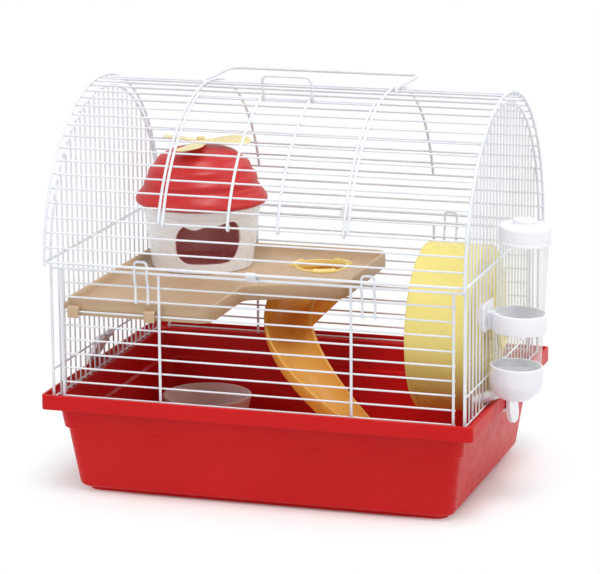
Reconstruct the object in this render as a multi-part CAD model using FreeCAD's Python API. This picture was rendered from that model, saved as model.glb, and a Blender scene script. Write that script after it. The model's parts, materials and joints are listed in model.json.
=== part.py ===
import FreeCAD, Part
import math
import os

V = FreeCAD.Vector

# Everything in millimetres and degrees, +Z up, front at -Y, origin on the floor under the tray's middle.

# Tray
rim_length = 350.0         # over the rim, left to right
rim_depth = 261.0          # over the rim, front to back
rim_corner = 4.0
rim_band = 12.0            # height of the turned-down rim
rim_lip = 4.0              # edge of the rim above the shelf
tray_height = 83.0
tray_wall = 2.2
tray_inset = 8.8           # rim edge to tray wall, at the shelf
tray_corner = 10.0
upper_wall = 25.0          # shelf down to the step
upper_taper = 3.3
step_height = 1.6
step_width = 2.3
lower_taper = 7.0
bottom_round = 5.0
tray_floor = 2.5
foot_height = 3.0
foot_inset = 6.0           # bottom of the wall to the foot
foot_width = 5.0

# Wires
thin_wire = 1.5            # diameter of rows, bars and long roof wires
frame_wire = 2.2           # diameter of borders, uprights and arches
loop_wire = 2.0
handle_wire = 3.0
pivot_gap = 0.1            # round wire and pin hinges

# Side panels
post_inset = 8.25          # rim edge to the middle of the corner posts
panel_height = 105.3       # shelf to the middle of the top bar
row_pitch = 11.45
upright_inset = 8.75       # corner post to the outer upright
inner_upright = 77.5
bar_pitch = 10.6
low_bar_rise = 23.5        # shelf to the low cross bar of the ends

# Roof
roof_end_reach = 0.55      # roof ring to the ends of the long wires
roof_overhang = 7.0        # posts to the long roof wires
spring_lift = 1.2          # top bar to the centre line of the half barrel
ring_rise = 4.5            # that centre line to the ring at the roof's foot
ring_corner = 5.0
arch_drop = 3.0            # ends of the end arches under the ring
wires_per_side = 17        # long wires from the ring to the ridge
middle_arch = 76.0         # middle arches, from the cage's middle

# Roof door
hinge_wire = 3             # long wire that the door turns on
head_wire = 14             # long wire over the door
door_side_gap = 3.5        # middle arch to the door's side arc
door_head_gap = 3.0        # head wire to the door's top wire
door_rest = 3.0            # inner arcs reach over the head wire
door_rib = 20.0            # inner arcs, from the middle
curl_turn = 285.0          # how far the hinge curls go round
pull_height = 20.7         # door's top wire to the middle of the pull
pull_bend = 5.0

# Carry handle
handle_reach = 67.0        # pivot to grip bar
handle_bend = 8.0
handle_gap = 1.0           # middle arch to handle wire

# Loops and clips that hold the roof
loop_offset = 91.5         # from the middle of the front
loop_width = 10.2
loop_foot = 1.5            # legs under the row they are fixed to
loop_knee = 2.0            # from the row and from the top bar to the lean between them
loop_top = 3.6             # ring to the top of the loop
loop_bend = 3.0
tie_width = 8.0
tie_sheet = 0.8

# Base clips
clip_width = 28.0
clip_wall = 3.0
clip_offset = 1.8          # pivot to the clip's inner face
clip_knuckle = 6.4         # outside diameter round the pivot wire
knuckle_width = 6.5
clip_neck = 5.0            # straight part under the pivot
clip_rim_gap = 0.7
clip_shoulder = 4.0        # over the rim where the clip leans out
clip_hook = 4.0            # hook under the rim
clip_hook_gap = 0.9
clip_hook_wall = 2.6
clip_tongue = 11.0
clip_round = 11.0          # lower corners of the tongue
clip_flare = 2.0

# Platform
platform_row = 3           # row that carries the hooks
platform_end = 6.15        # left bars to the left edge
platform_step = 37.0       # edge of the wide part, left of the middle
platform_right = 39.0
platform_notch = 36.0      # corner where the slanted edge starts, in front of the middle
platform_slant = 32.0      # depth of the slanted edge
platform_corner = 10.0
platform_wall = 2.0
platform_depth = 13.0
platform_lip = 7.0
platform_slope = 5.0       # width of the lip's slope
platform_gap = 0.9         # platform edge to the rows
platform_rise = 5.0        # edge of the platform over its hooks
hook_width = 9.0
hook_wall = 3.6
hook_lip = 2.0
hook_drop = 5.5
hook_gap = 0.4
hook_margin = 3.0          # hook to the upright beside it
lug_width = 6.0
lug_height = 5.0

# Chute and its collar
hole_from_right = 45.0     # platform's right edge to the middle of the hole
hole_from_back = 43.75
collar_radius = 22.5
collar_wall = 2.0
collar_flange = 3.0
collar_sheet = 1.2
collar_depth = 3.0
collar_tabs = 3
collar_tab_turn = 46.0     # how far each tab goes round
collar_tab_start = 150.0
chute_radius = 72.4        # from the spiral's axis to the middle of the trough
chute_inside = 17.0        # inner radius of the trough at its neck
chute_mouth = 21.0         # and at its lower end
chute_high_lip = 6.5       # straight part of the sides at the upper end
chute_low_lip = 1.0        # and at the lower end
chute_wall = 2.0
chute_first_angle = 125.0
chute_drop = 10.3          # platform to the trough's bed, at its start
chute_hole_angle = 142.0   # where the trough passes under the hole
chute_offset = 5.7         # middle of the hole outside the middle of the trough
chute_turn = 177.0
chute_curve_share = 0.55   # of the fall, the part that grows with the square of the way down
chute_inlet_share = 0.15   # of the way down, to the end of the wide inlet under the hole
chute_neck_share = 0.36    # of the way down, to the neck
chute_sections = 14

# House
house_from_left = 54.0     # platform's left edge to the middle of the house
house_from_back = 61.75
house_base = 83.0
house_top = 99.0
house_height = 58.0
house_wall = 2.2
door_width = 52.0
door_sill = 9.5
door_height = 30.5
door_round = 9.0
door_ear = 6.0
door_ear_rise = 1.0
door_turn = 25.0

# House roof
roof_wall = 2.2
roof_seat = 4.0            # brim hangs below the cup's edge
roof_seat_gap = 0.4
brim_reach = 4.8           # brim past its seat on the cup
brim_edge = 4.0            # upright part of the brim
brim_height = 10.5
brim_round = 1.6
ledge_one = 6.7            # widths of the ledges, brim to first tier and so on
ledge_two = 5.0
ledge_three = 7.0
tier_height = 11.0         # of the two lower tiers
top_tier_height = 8.0
tier_round = 2.0
crown_slope = 3.0          # top tier to the crown
crown = 30.0
boss = 9.0
boss_height = 3.0

# Propeller
hub = 11.0
hub_height = 4.5
blade_length = 41.5
blade_width = 27.0
blade_root = 8.0
blade_tip_share = 0.85     # of the blade's end taken up by its rounded corners
blade_wall = 2.2
blade_pitch = 9.0
blade_turn = 30.0
blades = 3
pin = 4.0
pin_head = 7.0
pin_head_height = 1.6
pin_depth = 2.0
turn_gap = 0.3             # end play of turning parts

# Wheel
wheel = 134.0
wheel_width = 50.5
wheel_wall = 2.4
wheel_lip = 5.0
wheel_rise = 49.0          # shelf to axle
wheel_round = 2.0
wheel_hub = 18.0
hub_out = 3.5              # hub past the disc, toward the bars
hub_in = 7.0
axle = 6.0
axle_head = 12.0
axle_head_height = 3.5
bracket = 36.0
bracket_wall = 2.5
bracket_boss = 16.0
bracket_reach = 6.3
plate = 28.0
plate_wall = 2.5
nut = 10.0
nut_height = 4.0
axle_tail = 1.0

# Drinking bottle
bottle_bars = 5            # bar gaps from the middle to the bottle
bottle_off = 24.0          # holder plate to the bottle's axis
tube = 38.0
tube_wall = 1.2
tube_length = 111.0
bottle_lean = 3.0          # degrees, top away from the bars
bottle_rise = 29.0         # shelf to the foot of the tube
cap_height = 15.0
cap_wall = 1.5
cap_seat = 8.5             # tube inside the cap
cap_boss = 20.0
cap_boss_height = 4.0
cap_round = 3.0
cup_height = 28.0
cup_wall = 1.8
cup_seat = 6.0
cup_round = 16.0
holder_rise = 62.0
holder_height = 22.0       # of the plate
ring_height = 15.0
holder_wall = 2.2
holder_plate = 30.0
holder_sheet = 2.6
holder_neck = 8.0
holder_lug = 6.0
holder_back = 17.0
spout = 8.6
spout_bore = 5.2
spout_mouth = 4.0
spout_lip = 1.0
spout_inside = 7.0         # past the bars
spout_fall = 10.0
spout_root = 7.0           # into the cup
spout_rise = 13.5          # shelf to the spout's root
ball = 5.0
ball_gap = 0.1

# Bowl
bowl_from_left = 71.0      # rim's left edge to the middle of the bowl
bowl_from_back = 66.5
bowl = 75.0
bowl_foot = 60.0
bowl_height = 33.0
bowl_wall = 2.0
bowl_round = 6.0

overrun = 5.0              # cutting shapes reach this far past what they cut

thin = thin_wire / 2
frame = frame_wire / 2
shelf = tray_height - rim_lip
skirt = tray_height - rim_band
floor_top = foot_height + tray_floor
post_x = rim_length / 2 - post_inset
post_y = rim_depth / 2 - post_inset
row_y = post_y - frame - thin
bar_x = post_x - frame - thin
cross_x = bar_x + thin_wire
top_bar = shelf + panel_height
outer_upright = post_x - upright_inset
low_bar = shelf + low_bar_rise
spring = top_bar + spring_lift
long_radius = post_y + roof_overhang
arch_radius = long_radius + thin + frame
ring_angle = math.degrees(math.asin(ring_rise / long_radius))
ring_x = post_x + frame_wire
ring_y = long_radius * math.cos(math.radians(ring_angle))
ring_z = spring + ring_rise
roof_half = ring_x + roof_end_reach
curl_radius = thin + pivot_gap + frame
door_radius = long_radius + curl_radius
door_side = middle_arch - door_side_gap
hook_under = shelf + panel_height - platform_row * row_pitch + thin
platform_top = hook_under + hook_wall + platform_rise
platform_floor = platform_top - platform_lip
platform_under = platform_floor - platform_wall
chute_inlet = collar_radius - collar_wall / 2
platform_y = row_y - thin - platform_gap
platform_left = bar_x - thin - platform_end
hole_x = platform_right - hole_from_right
hole_y = platform_y - hole_from_back
house_x = house_from_left - platform_left
house_y = platform_y - house_from_back
crown_rise = brim_height + 2 * tier_height + top_tier_height + crown_slope
bowl_x = bowl_from_left - rim_length / 2
bowl_y = rim_depth / 2 - bowl_from_back


def rod(start, end, radius):
    line = end.sub(start)
    return Part.makeCylinder(radius, line.Length, start, line)


def disc(x, y, low, high, radius):
    return Part.makeCylinder(radius, high - low, V(x, y, low))


def block(low, high):
    size = high.sub(low)
    return Part.makeBox(size.x, size.y, size.z, low)


def joined(shapes):
    return shapes[0].fuse(shapes[1:]).removeSplitter()


def mirrored(point):
    return V(-point.x, point.y, point.z)


# Corner of a bent line: where the bend starts, its middle and where it ends.
def bend_points(before, corner, after, bend):
    first = before.sub(corner).normalize()
    second = after.sub(corner).normalize()
    half = first.getAngle(second) / 2
    middle = (first + second).normalize()
    reach = bend / math.tan(half)
    return corner + first * reach, corner + middle * (bend / math.sin(half) - bend), corner + second * reach


# Straight runs between the points, with a round bend at each inner point.
def bent_path(points, bend):
    edges = []
    place = points[0]
    for before, corner, after in zip(points, points[1:], points[2:]):
        start, middle, end = bend_points(before, corner, after, bend)
        edges += [Part.makeLine(place, start), Part.Arc(start, middle, end).toShape()]
        place = end
    edges.append(Part.makeLine(place, points[-1]))
    return edges


def wire_along(edges, start, heading, radius):
    profile = Part.Wire(Part.makeCircle(radius, start, heading))
    return Part.Wire(edges).makePipeShell([profile], True, False)


def bent_wire(points, bend, radius):
    return wire_along(bent_path(points, bend), points[0], points[1].sub(points[0]), radius)


# Closed outline through the points; a bend of 0 leaves a sharp corner.
def outline_face(points, bends):
    edges = []
    count = len(points)
    ends = []
    for i in range(count):
        before, corner, after = points[i - 1], points[i], points[(i + 1) % count]
        if bends[i] > 0:
            ends.append(bend_points(before, corner, after, bends[i]))
        else:
            ends.append((corner, corner, corner))
    for i in range(count):
        if bends[i] > 0:
            edges.append(Part.Arc(*ends[i]).toShape())
        edges.append(Part.makeLine(ends[i][2], ends[(i + 1) % count][0]))
    return Part.Face(Part.Wire(edges))


# Solid turned about the Z axis from (radius, height) pairs.
def turned(pairs, bends):
    face = outline_face([V(radius, 0, height) for radius, height in pairs], bends)
    return face.revolve(V(0, 0, 0), V(0, 0, 1), 360)


def rounded_outline(half_x, half_y, corner, z):
    edges = []
    signs = ((1, 1), (-1, 1), (-1, -1), (1, -1))
    arcs = []
    for quarter, (sx, sy) in enumerate(signs):
        centre = V(sx * (half_x - corner), sy * (half_y - corner), z)
        arcs.append(Part.makeCircle(corner, centre, V(0, 0, 1), 90 * quarter, 90 * (quarter + 1)))
    for arc, following in zip(arcs, arcs[1:] + arcs[:1]):
        start = arc.valueAt(arc.LastParameter)
        edges += [arc, Part.makeLine(start, following.valueAt(following.FirstParameter))]
    return Part.Wire(edges)


def slab(half_x, half_y, corner, low, high):
    return Part.Face(rounded_outline(half_x, half_y, corner, low)).extrude(V(0, 0, high - low))


# Arc of wire across the roof; degrees count from the front, over the ridge, to the back.
def roof_point(x, radius, angle):
    turn = math.radians(angle)
    return V(x, -radius * math.cos(turn), spring + radius * math.sin(turn))


def bow(x, radius, first, last, wire_radius):
    start = roof_point(x, radius, first)
    turn = math.radians(first)
    heading = V(0, math.sin(turn), math.cos(turn))
    end_face = Part.Face(Part.Wire(Part.makeCircle(wire_radius, start, heading)))
    return end_face.revolve(V(x, 0, spring), V(-1, 0, 0), last - first)


# Curl of wire round a pivot, in a plane across X, from a start point and turning about -X or +X.
def curl(start, pivot, heading, side, wire_radius):
    end_face = Part.Face(Part.Wire(Part.makeCircle(wire_radius, start, heading)))
    return end_face.revolve(pivot, V(side, 0, 0), curl_turn)


def wire_angle(number):
    return ring_angle + number * (90 - ring_angle) / wires_per_side


def base_tray():
    half_x = rim_length / 2
    half_y = rim_depth / 2
    heights = [foot_height, shelf - upper_wall - step_height, shelf - upper_wall, shelf]
    insets = [tray_inset + upper_taper + step_width + lower_taper, tray_inset + upper_taper + step_width,
              tray_inset + upper_taper, tray_inset]
    body = Part.makeLoft([rounded_outline(half_x - inset, half_y - inset, tray_corner, height)
                          for inset, height in zip(insets, heights)], True, True)
    bottom = [edge for edge in body.Edges if edge.BoundBox.ZMax < foot_height + tray_floor]
    body = body.makeFillet(bottom_round, bottom)
    inner_heights = [floor_top, heights[1] + tray_wall, heights[2] + tray_wall, shelf + overrun]
    hollow = Part.makeLoft([rounded_outline(half_x - inset - tray_wall, half_y - inset - tray_wall,
                                            tray_corner - tray_wall, height)
                            for inset, height in zip(insets, inner_heights)], True, True)
    low = [edge for edge in hollow.Edges if edge.BoundBox.ZMax < floor_top + tray_wall]
    hollow = hollow.makeFillet(bottom_round - tray_wall, low)
    rim = slab(half_x, half_y, rim_corner, skirt, tray_height)
    rim_x = half_x - tray_wall
    rim_y = half_y - tray_wall
    inner_corner = rim_corner - tray_wall
    rim = rim.cut(slab(rim_x, rim_y, inner_corner, shelf, tray_height + overrun))
    rim = rim.cut(slab(rim_x, rim_y, inner_corner, skirt - overrun, shelf - tray_wall))
    foot_x = half_x - insets[0] - foot_inset
    foot_y = half_y - insets[0] - foot_inset
    foot = slab(foot_x, foot_y, tray_corner, 0, foot_height)
    foot = foot.cut(slab(foot_x - foot_width, foot_y - foot_width, tray_corner - foot_width, -overrun,
                         foot_height + overrun))
    rib = foot_width / 2
    ribs = [block(V(-foot_x + rib, -rib, 0), V(foot_x - rib, rib, foot_height)),
            block(V(-rib, -foot_y + rib, 0), V(rib, foot_y - rib, foot_height))]
    return joined([body.fuse(rim).cut(hollow), foot] + ribs)


# Front panel with side -1, back panel with side 1.
def long_panel(side):
    y = side * post_y
    bar_end = post_x - frame
    wires = [rod(V(-bar_end, y, top_bar), V(bar_end, y, top_bar), frame)]
    for x in (-outer_upright, -inner_upright, inner_upright, outer_upright):
        wires.append(rod(V(x, y, shelf), V(x, y, top_bar - frame), frame))
    row_end = outer_upright + frame
    for row in range(1, int((panel_height - thin) / row_pitch) + 1):
        z = top_bar - row * row_pitch
        wires.append(rod(V(-row_end, side * row_y, z), V(row_end, side * row_y, z), thin))
    return Part.makeCompound(wires)


# Right end with side 1, left end with side -1.
def end_bars(side):
    wires = []
    per_half = int((post_y - frame_wire) / bar_pitch + 1 / 2)
    for number in range(-per_half, per_half):
        y = (number + 1 / 2) * bar_pitch
        wires.append(rod(V(side * bar_x, y, shelf),
                         V(side * bar_x, y, spring + math.sqrt(post_y * post_y - y * y)), thin))
    for z in (shelf + thin, low_bar):
        wires.append(rod(V(side * cross_x, frame - post_y, z), V(side * cross_x, post_y - frame, z), thin))
    return Part.makeCompound(wires)


def end_border(side):
    x = side * post_x
    foot = V(x, -post_y, shelf)
    front = V(x, -post_y, spring)
    back = V(x, post_y, spring)
    edges = [Part.makeLine(foot, front), Part.Arc(front, V(x, 0, spring + post_y), back).toShape(),
             Part.makeLine(back, V(x, post_y, shelf))]
    return wire_along(edges, foot, V(0, 0, 1), frame)


def roof_ring():
    straight_x = ring_x - ring_corner
    straight_y = ring_y - ring_corner
    pieces = []
    for side in (-1, 1):
        pieces.append(rod(V(-straight_x, side * ring_y, ring_z), V(straight_x, side * ring_y, ring_z), frame))
        pieces.append(rod(V(side * ring_x, -straight_y, ring_z), V(side * ring_x, straight_y, ring_z), frame))
    for quarter, (sx, sy) in enumerate(((1, 1), (-1, 1), (-1, -1), (1, -1))):
        centre = V(sx * straight_x, sy * straight_y, ring_z)
        turn = math.radians(90 * quarter)
        out = V(math.cos(turn), math.sin(turn), 0)
        start = Part.makeCircle(frame, centre + out * ring_corner, V(-out.y, out.x, 0))
        pieces.append(Part.Face(Part.Wire(start)).revolve(centre, V(0, 0, 1), 90))
    return joined(pieces)


# Long wires inside the arches; those that meet the door opening stop at the middle arches.
def roof_wires():
    wires = []
    for number in range(1, 2 * wires_per_side):
        angle = wire_angle(number)
        left = roof_point(-roof_half, long_radius, angle)
        right = roof_point(roof_half, long_radius, angle)
        if hinge_wire < number < head_wire:
            stop = roof_point(middle_arch - frame, long_radius, angle)
            wires += [rod(left, mirrored(stop), thin), rod(stop, right, thin)]
        else:
            wires.append(rod(left, right, thin))
    return Part.makeCompound(wires)


def end_arch(side):
    foot = math.degrees(math.asin((ring_rise - arch_drop) / arch_radius))
    return bow(side * (roof_half - frame), arch_radius, foot, 180 - foot, frame)


def mid_arch(side):
    foot = wire_angle(hinge_wire)
    return bow(side * middle_arch, arch_radius, foot, 180 - foot, frame)


def door_top_angle():
    return wire_angle(head_wire) - math.degrees(door_head_gap / long_radius)


# Arc of the door with its hinge curl round the hinge wire.
def door_arc(x, last):
    first = wire_angle(hinge_wire)
    turn = math.radians(first)
    down = V(0, -math.sin(turn), -math.cos(turn))
    start = roof_point(x, door_radius, first)
    hinge = curl(start, roof_point(x, long_radius, first), down, 1, frame)
    return joined([bow(x, door_radius, first, last, frame), hinge])


def door_arcs():
    rest = wire_angle(head_wire) + math.degrees(door_rest / long_radius)
    sides = [door_arc(x, door_top_angle()) for x in (-door_side, door_side)]
    return Part.makeCompound(sides + [door_arc(x, rest) for x in (-door_rib, door_rib)])


def door_wires():
    radius = door_radius - frame - thin
    end = door_side + frame
    angles = [wire_angle(number) for number in range(hinge_wire + 1, head_wire)] + [door_top_angle()]
    return Part.makeCompound([rod(roof_point(-end, radius, angle), roof_point(end, radius, angle), thin)
                              for angle in angles])


def door_pull():
    left = frame_wire - door_rib
    right = frame_wire + door_rib
    low = door_radius - frame
    high = low + pull_height
    angle = door_top_angle()
    return bent_wire([roof_point(left, low, angle), roof_point(left, high, angle),
                      roof_point(right, high, angle), roof_point(right, low, angle)], pull_bend, frame)


def carry_handle():
    radius = handle_wire / 2
    x = middle_arch + frame + handle_gap + radius
    pivot_z = spring + long_radius
    z = pivot_z + thin + pivot_gap + radius
    points = [V(-x, 0, z), V(-x, handle_reach, z), V(x, handle_reach, z), V(x, 0, z)]
    curls = [curl(V(side * x, 0, z), V(side * x, 0, pivot_z), V(0, -1, 0), 1, radius) for side in (-1, 1)]
    return joined([bent_wire(points, handle_bend, radius)] + curls)


# Loop that stands on two rows of a panel, passes outside its top bar and keeps the ring of the roof in place.
def roof_loop(x, side):
    radius = loop_wire / 2
    near = side * (row_y + thin + radius)
    far = side * (post_y + frame + radius)
    foot = top_bar - 2 * row_pitch - loop_foot
    knee = top_bar - row_pitch + loop_knee
    left = x - loop_width / 2
    up = [V(left, near, foot), V(left, near, knee), V(left, far, top_bar - loop_knee - frame),
          V(left, far, ring_z + loop_top)]
    down = [V(point.x + loop_width, point.y, point.z) for point in reversed(up)]
    return bent_wire(up + down, loop_bend, radius)


def roof_loops(side):
    return Part.makeCompound([roof_loop(x, side) for x in (-loop_offset, loop_offset)])


# Closed outline round two points in a plane across X.
def oblong(first, second, radius):
    along = second.sub(first).normalize() * radius
    across = V(0, -along.z, along.y)
    return Part.Wire([Part.Arc(first + across, first - along, first - across).toShape(),
                      Part.makeLine(first - across, second - across),
                      Part.Arc(second - across, second + along, second + across).toShape(),
                      Part.makeLine(second + across, first + across)])


# Sheet clip round the top bar of a panel and the ring of the roof.
def roof_tie(side):
    bar = V(-tie_width / 2, side * post_y, top_bar)
    ring = V(-tie_width / 2, side * ring_y, ring_z)
    length = V(tie_width, 0, 0)
    outside = Part.Face(oblong(bar, ring, frame + tie_sheet)).extrude(length)
    return outside.cut(Part.Face(oblong(bar, ring, frame)).extrude(length))


def roof_ties():
    return Part.makeCompound([roof_tie(side) for side in (-1, 1)])


# Clip that turns on the low cross bar and hooks under the rim of the tray; drawn for the right end.
def base_clip(side):
    inner = cross_x + clip_offset
    rim = rim_length / 2 + clip_rim_gap
    hook_top = skirt - clip_hook_gap
    hook_low = hook_top - clip_hook_wall
    neck = low_bar - clip_neck
    shoulder = tray_height + clip_shoulder
    end = hook_low - clip_tongue
    corners = [(inner, low_bar), (inner + clip_wall, low_bar), (inner + clip_wall, neck),
               (rim + clip_wall, shoulder), (rim + clip_wall, hook_low),
               (rim + clip_wall + clip_flare, end), (rim + clip_flare, end),
               (rim, hook_low), (rim - clip_hook, hook_low), (rim - clip_hook, hook_top), (rim, hook_top),
               (rim, shoulder - clip_wall), (inner, neck - clip_wall / 2)]
    middle = -bar_pitch
    front = middle - clip_width / 2
    back = middle + clip_width / 2
    outline = Part.makePolygon([V(x, front, z) for x, z in corners + corners[:1]])
    body = Part.Face(outline).extrude(V(0, clip_width, 0))
    face = outline_face([V(0, front, end), V(0, back, end), V(0, back, low_bar), V(0, front, low_bar)],
                        [clip_round, clip_round, 0, 0])
    body = body.common(face.extrude(V(rim_length, 0, 0)))
    knuckles = []
    bores = []
    for y in (middle - bar_pitch, middle + bar_pitch):
        start = V(cross_x, y - knuckle_width / 2, low_bar)
        knuckles.append(Part.makeCylinder(clip_knuckle / 2, knuckle_width, start, V(0, 1, 0)))
        bores.append(Part.makeCylinder(thin + pivot_gap, knuckle_width, start, V(0, 1, 0)))
    clip = joined([body] + knuckles).cut(bores)
    if side < 0:
        clip = clip.mirror(V(0, 0, 0), V(1, 0, 0))
    return clip


# Hook of the platform over a row; side -1 is the front.
def platform_hook(x, side):
    wall = side * platform_y
    gap = side * (row_y + thin + hook_gap)
    out = side * (row_y + thin + hook_gap + hook_lip)
    left = x - hook_width / 2
    right = x + hook_width / 2
    top = hook_under + hook_wall
    over = block(V(left, min(wall, out), hook_under), V(right, max(wall, out), top))
    lip = block(V(left, min(gap, out), hook_under - hook_drop), V(right, max(gap, out), top))
    return [over, lip]


# Outer wire of a face, lifted.
def raised(face, height):
    wire = face.OuterWire.copy()
    wire.translate(V(0, 0, height))
    return wire


def platform():
    slant_start = V(-platform_step, -platform_notch, 0)
    slant_end = V(platform_right, platform_slant - platform_notch, 0)
    points = [V(-platform_left, -platform_y, 0), V(-platform_step, -platform_y, 0), slant_start, slant_end,
              V(platform_right, platform_y, 0), V(-platform_left, platform_y, 0)]
    bends = [platform_corner] * len(points)
    base = platform_top - platform_depth
    face = outline_face(points, bends)
    face.translate(V(0, 0, base))
    inside = face.makeOffset2D(-platform_wall)
    bottom = face.makeOffset2D(-platform_wall - platform_slope)
    board = face.extrude(V(0, 0, platform_depth))
    over = Part.makeLoft([raised(bottom, platform_floor - base), raised(inside, platform_depth)], True, True)
    board = board.cut(over)
    under = Part.makeLoft([raised(inside, 0), raised(bottom, platform_under - base)], True, True)
    board = board.cut(under)
    board = board.cut(disc(hole_x, hole_y, base - overrun, platform_top + overrun, collar_radius))
    far = hook_margin + frame + hook_width / 2
    hooks = []
    for side in (-1, 1):
        hooks += platform_hook(-outer_upright + far, side) + platform_hook(-inner_upright - far, side)
    lug_y = -post_y + 2 * bar_pitch
    lug = block(V(thin - bar_x, lug_y - lug_width / 2, platform_floor - lug_height),
                V(-platform_left + platform_wall / 2, lug_y + lug_width / 2, platform_floor))
    return joined([board, lug] + hooks)


def chute_collar():
    low = platform_under - collar_depth
    ring = disc(hole_x, hole_y, low, platform_floor + collar_sheet, collar_radius)
    tabs = []
    for number in range(collar_tabs):
        tab = Part.makeCylinder(collar_radius + collar_flange, collar_sheet, V(hole_x, hole_y, platform_floor),
                                V(0, 0, 1), collar_tab_turn)
        tab.rotate(V(hole_x, hole_y, 0), V(0, 0, 1), collar_tab_start + number * 360 / collar_tabs)
        tabs.append(tab)
    bore = disc(hole_x, hole_y, low - overrun, platform_top + overrun, collar_radius - collar_wall)
    return joined([ring] + tabs).cut(bore)


def chute_axis():
    turn = math.radians(chute_hole_angle)
    reach = chute_radius + chute_offset
    return V(hole_x - reach * math.cos(turn), hole_y - reach * math.sin(turn), 0)


# Inner radius of the trough, part of the way down, and how far its middle stands out from the spiral. At the
# inlet both are the hole's, then the trough is drawn in to its neck, and from there it widens to its mouth.
def chute_width(part):
    if part > chute_neck_share:
        widened = (part - chute_neck_share) / (1 - chute_neck_share)
        return chute_inside + widened * (chute_mouth - chute_inside), 0
    pull = min(1, (chute_neck_share - part) / (chute_neck_share - chute_inlet_share))
    return chute_inside + pull * (chute_inlet - chute_inside), pull * chute_offset


# Middle of the trough's round, part of the way down, its inner radius and the way out from the spiral's axis.
def chute_middle(part):
    turn = math.radians(chute_first_angle + part * chute_turn)
    out = V(math.cos(turn), math.sin(turn), 0)
    inside, off = chute_width(part)
    start_bed = platform_under - chute_drop
    end_bed = floor_top + chute_wall
    fall = part + chute_curve_share * (part * part - part)
    bed = start_bed + fall * (end_bed - start_bed)
    return chute_axis() + out * (chute_radius + off) + V(0, 0, bed + inside), inside, out


# Cross section of the trough, upright.
def chute_section(part):
    centre, inside, out = chute_middle(part)
    up = V(0, 0, 1)
    outside = inside + chute_wall
    lip = up * (chute_high_lip + part * (chute_low_lip - chute_high_lip))
    far_out, far_in = centre + out * outside, centre + out * inside
    near_out, near_in = centre - out * outside, centre - out * inside
    return Part.Wire([Part.makeLine(far_out + lip, far_out),
                      Part.Arc(far_out, centre - up * outside, near_out).toShape(),
                      Part.makeLine(near_out, near_out + lip), Part.makeLine(near_out + lip, near_in + lip),
                      Part.makeLine(near_in + lip, near_in),
                      Part.Arc(near_in, centre - up * inside, far_in).toShape(),
                      Part.makeLine(far_in, far_in + lip), Part.makeLine(far_in + lip, far_out + lip)])


# Plate that closes the upper end of the trough.
def chute_end():
    centre, inside, out = chute_middle(0)
    back = out.cross(V(0, 0, 1))
    return rod(centre, centre + back * chute_wall, inside + chute_wall)


def chute():
    sections = [chute_section(number / chute_sections) for number in range(chute_sections + 1)]
    trough = joined([Part.makeLoft(sections, True, False), chute_end()])
    reach = chute_radius + chute_offset + chute_inlet + chute_mouth + chute_wall
    axis = chute_axis()
    trough = trough.cut(disc(axis.x, axis.y, platform_under, platform_top + reach, reach))
    low = platform_under - collar_depth
    return trough.cut(disc(hole_x, hole_y, low, platform_under + overrun, collar_radius))


def house_body():
    base = house_base / 2
    top = house_top / 2
    cup = turned([(0, 0), (base, 0), (top, house_height), (top - house_wall, house_height),
                  (base - house_wall, house_wall), (0, house_wall)], [0, house_wall, 0, 0, house_wall, 0])
    half = door_width / 2
    head = door_sill + door_height
    corners = [V(-half, 0, door_sill), V(half, 0, door_sill), V(half, 0, head), V(-half, 0, head)]
    way = outline_face(corners, [door_round, door_round, door_ear, door_ear]).extrude(V(0, -house_top, 0))
    ear_z = head - door_ear + door_ear_rise
    ears = [Part.makeCylinder(door_ear, house_top, V(side * (half - door_ear), 0, ear_z), V(0, -1, 0))
            for side in (-1, 1)]
    way = joined([way] + ears)
    way.rotate(V(0, 0, 0), V(0, 0, 1), door_turn)
    cup = cup.cut(way)
    cup.translate(V(house_x, house_y, platform_floor))
    return cup


def house_roof():
    seat = house_top / 2 + roof_seat_gap
    edge = seat + brim_reach
    radii = [edge - ledge_one, edge - ledge_one - ledge_two, edge - ledge_one - ledge_two - ledge_three]
    first = brim_height + tier_height
    second = first + tier_height
    tiers = [(radii[0], brim_height), (radii[0], first), (radii[1], first), (radii[1], second),
             (radii[2], second), (radii[2], second + top_tier_height), (crown / 2, crown_rise)]
    inner = [(radius - roof_wall, height - roof_wall) for radius, height in reversed(tiers[1:])]
    boss_top = crown_rise + boss_height
    pairs = [(edge, 0), (edge, brim_edge)] + tiers
    bends = [brim_round] * 2 + [tier_round] * len(tiers)
    pairs += [(boss / 2, crown_rise), (boss / 2, boss_top), (0, boss_top), (0, crown_rise - roof_wall)]
    pairs += inner + [(radii[0] - roof_wall, roof_seat), (seat, roof_seat), (seat, 0)]
    bends += [0] * (len(pairs) - len(bends))
    shell = turned(pairs, bends)
    bore = disc(0, 0, boss_top - pin_depth, boss_top + overrun, pin / 2)
    shell = shell.cut(bore)
    shell.translate(V(house_x, house_y, platform_floor + house_height - roof_seat))
    return shell


def propeller_base():
    return platform_floor + house_height - roof_seat + crown_rise + boss_height + turn_gap


def propeller():
    low = propeller_base()
    pieces = [disc(0, 0, low, low + hub_height, hub / 2)]
    tip = blade_width / 2
    root = blade_root / 2
    corners = [V(0, -root, 0), V(blade_length, -tip, 0), V(blade_length, tip, 0), V(0, root, 0)]
    corner_turn = math.radians(90) - math.atan2(tip - root, blade_length)
    tip_bend = tip * blade_tip_share * math.tan(corner_turn / 2)
    for number in range(blades):
        blade = outline_face(corners, [0, tip_bend, tip_bend, 0]).extrude(V(0, 0, blade_wall))
        blade.translate(V(0, 0, -blade_wall / 2))
        blade.rotate(V(0, 0, 0), V(1, 0, 0), blade_pitch)
        blade.rotate(V(0, 0, 0), V(0, 0, 1), blade_turn + number * 360 / blades)
        blade.translate(V(0, 0, low + hub_height / 2))
        pieces.append(blade)
    bore = disc(0, 0, low - overrun, low + hub_height + overrun, pin / 2 + pivot_gap)
    turning = joined(pieces).cut(bore)
    turning.translate(V(house_x, house_y, 0))
    return turning


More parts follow.
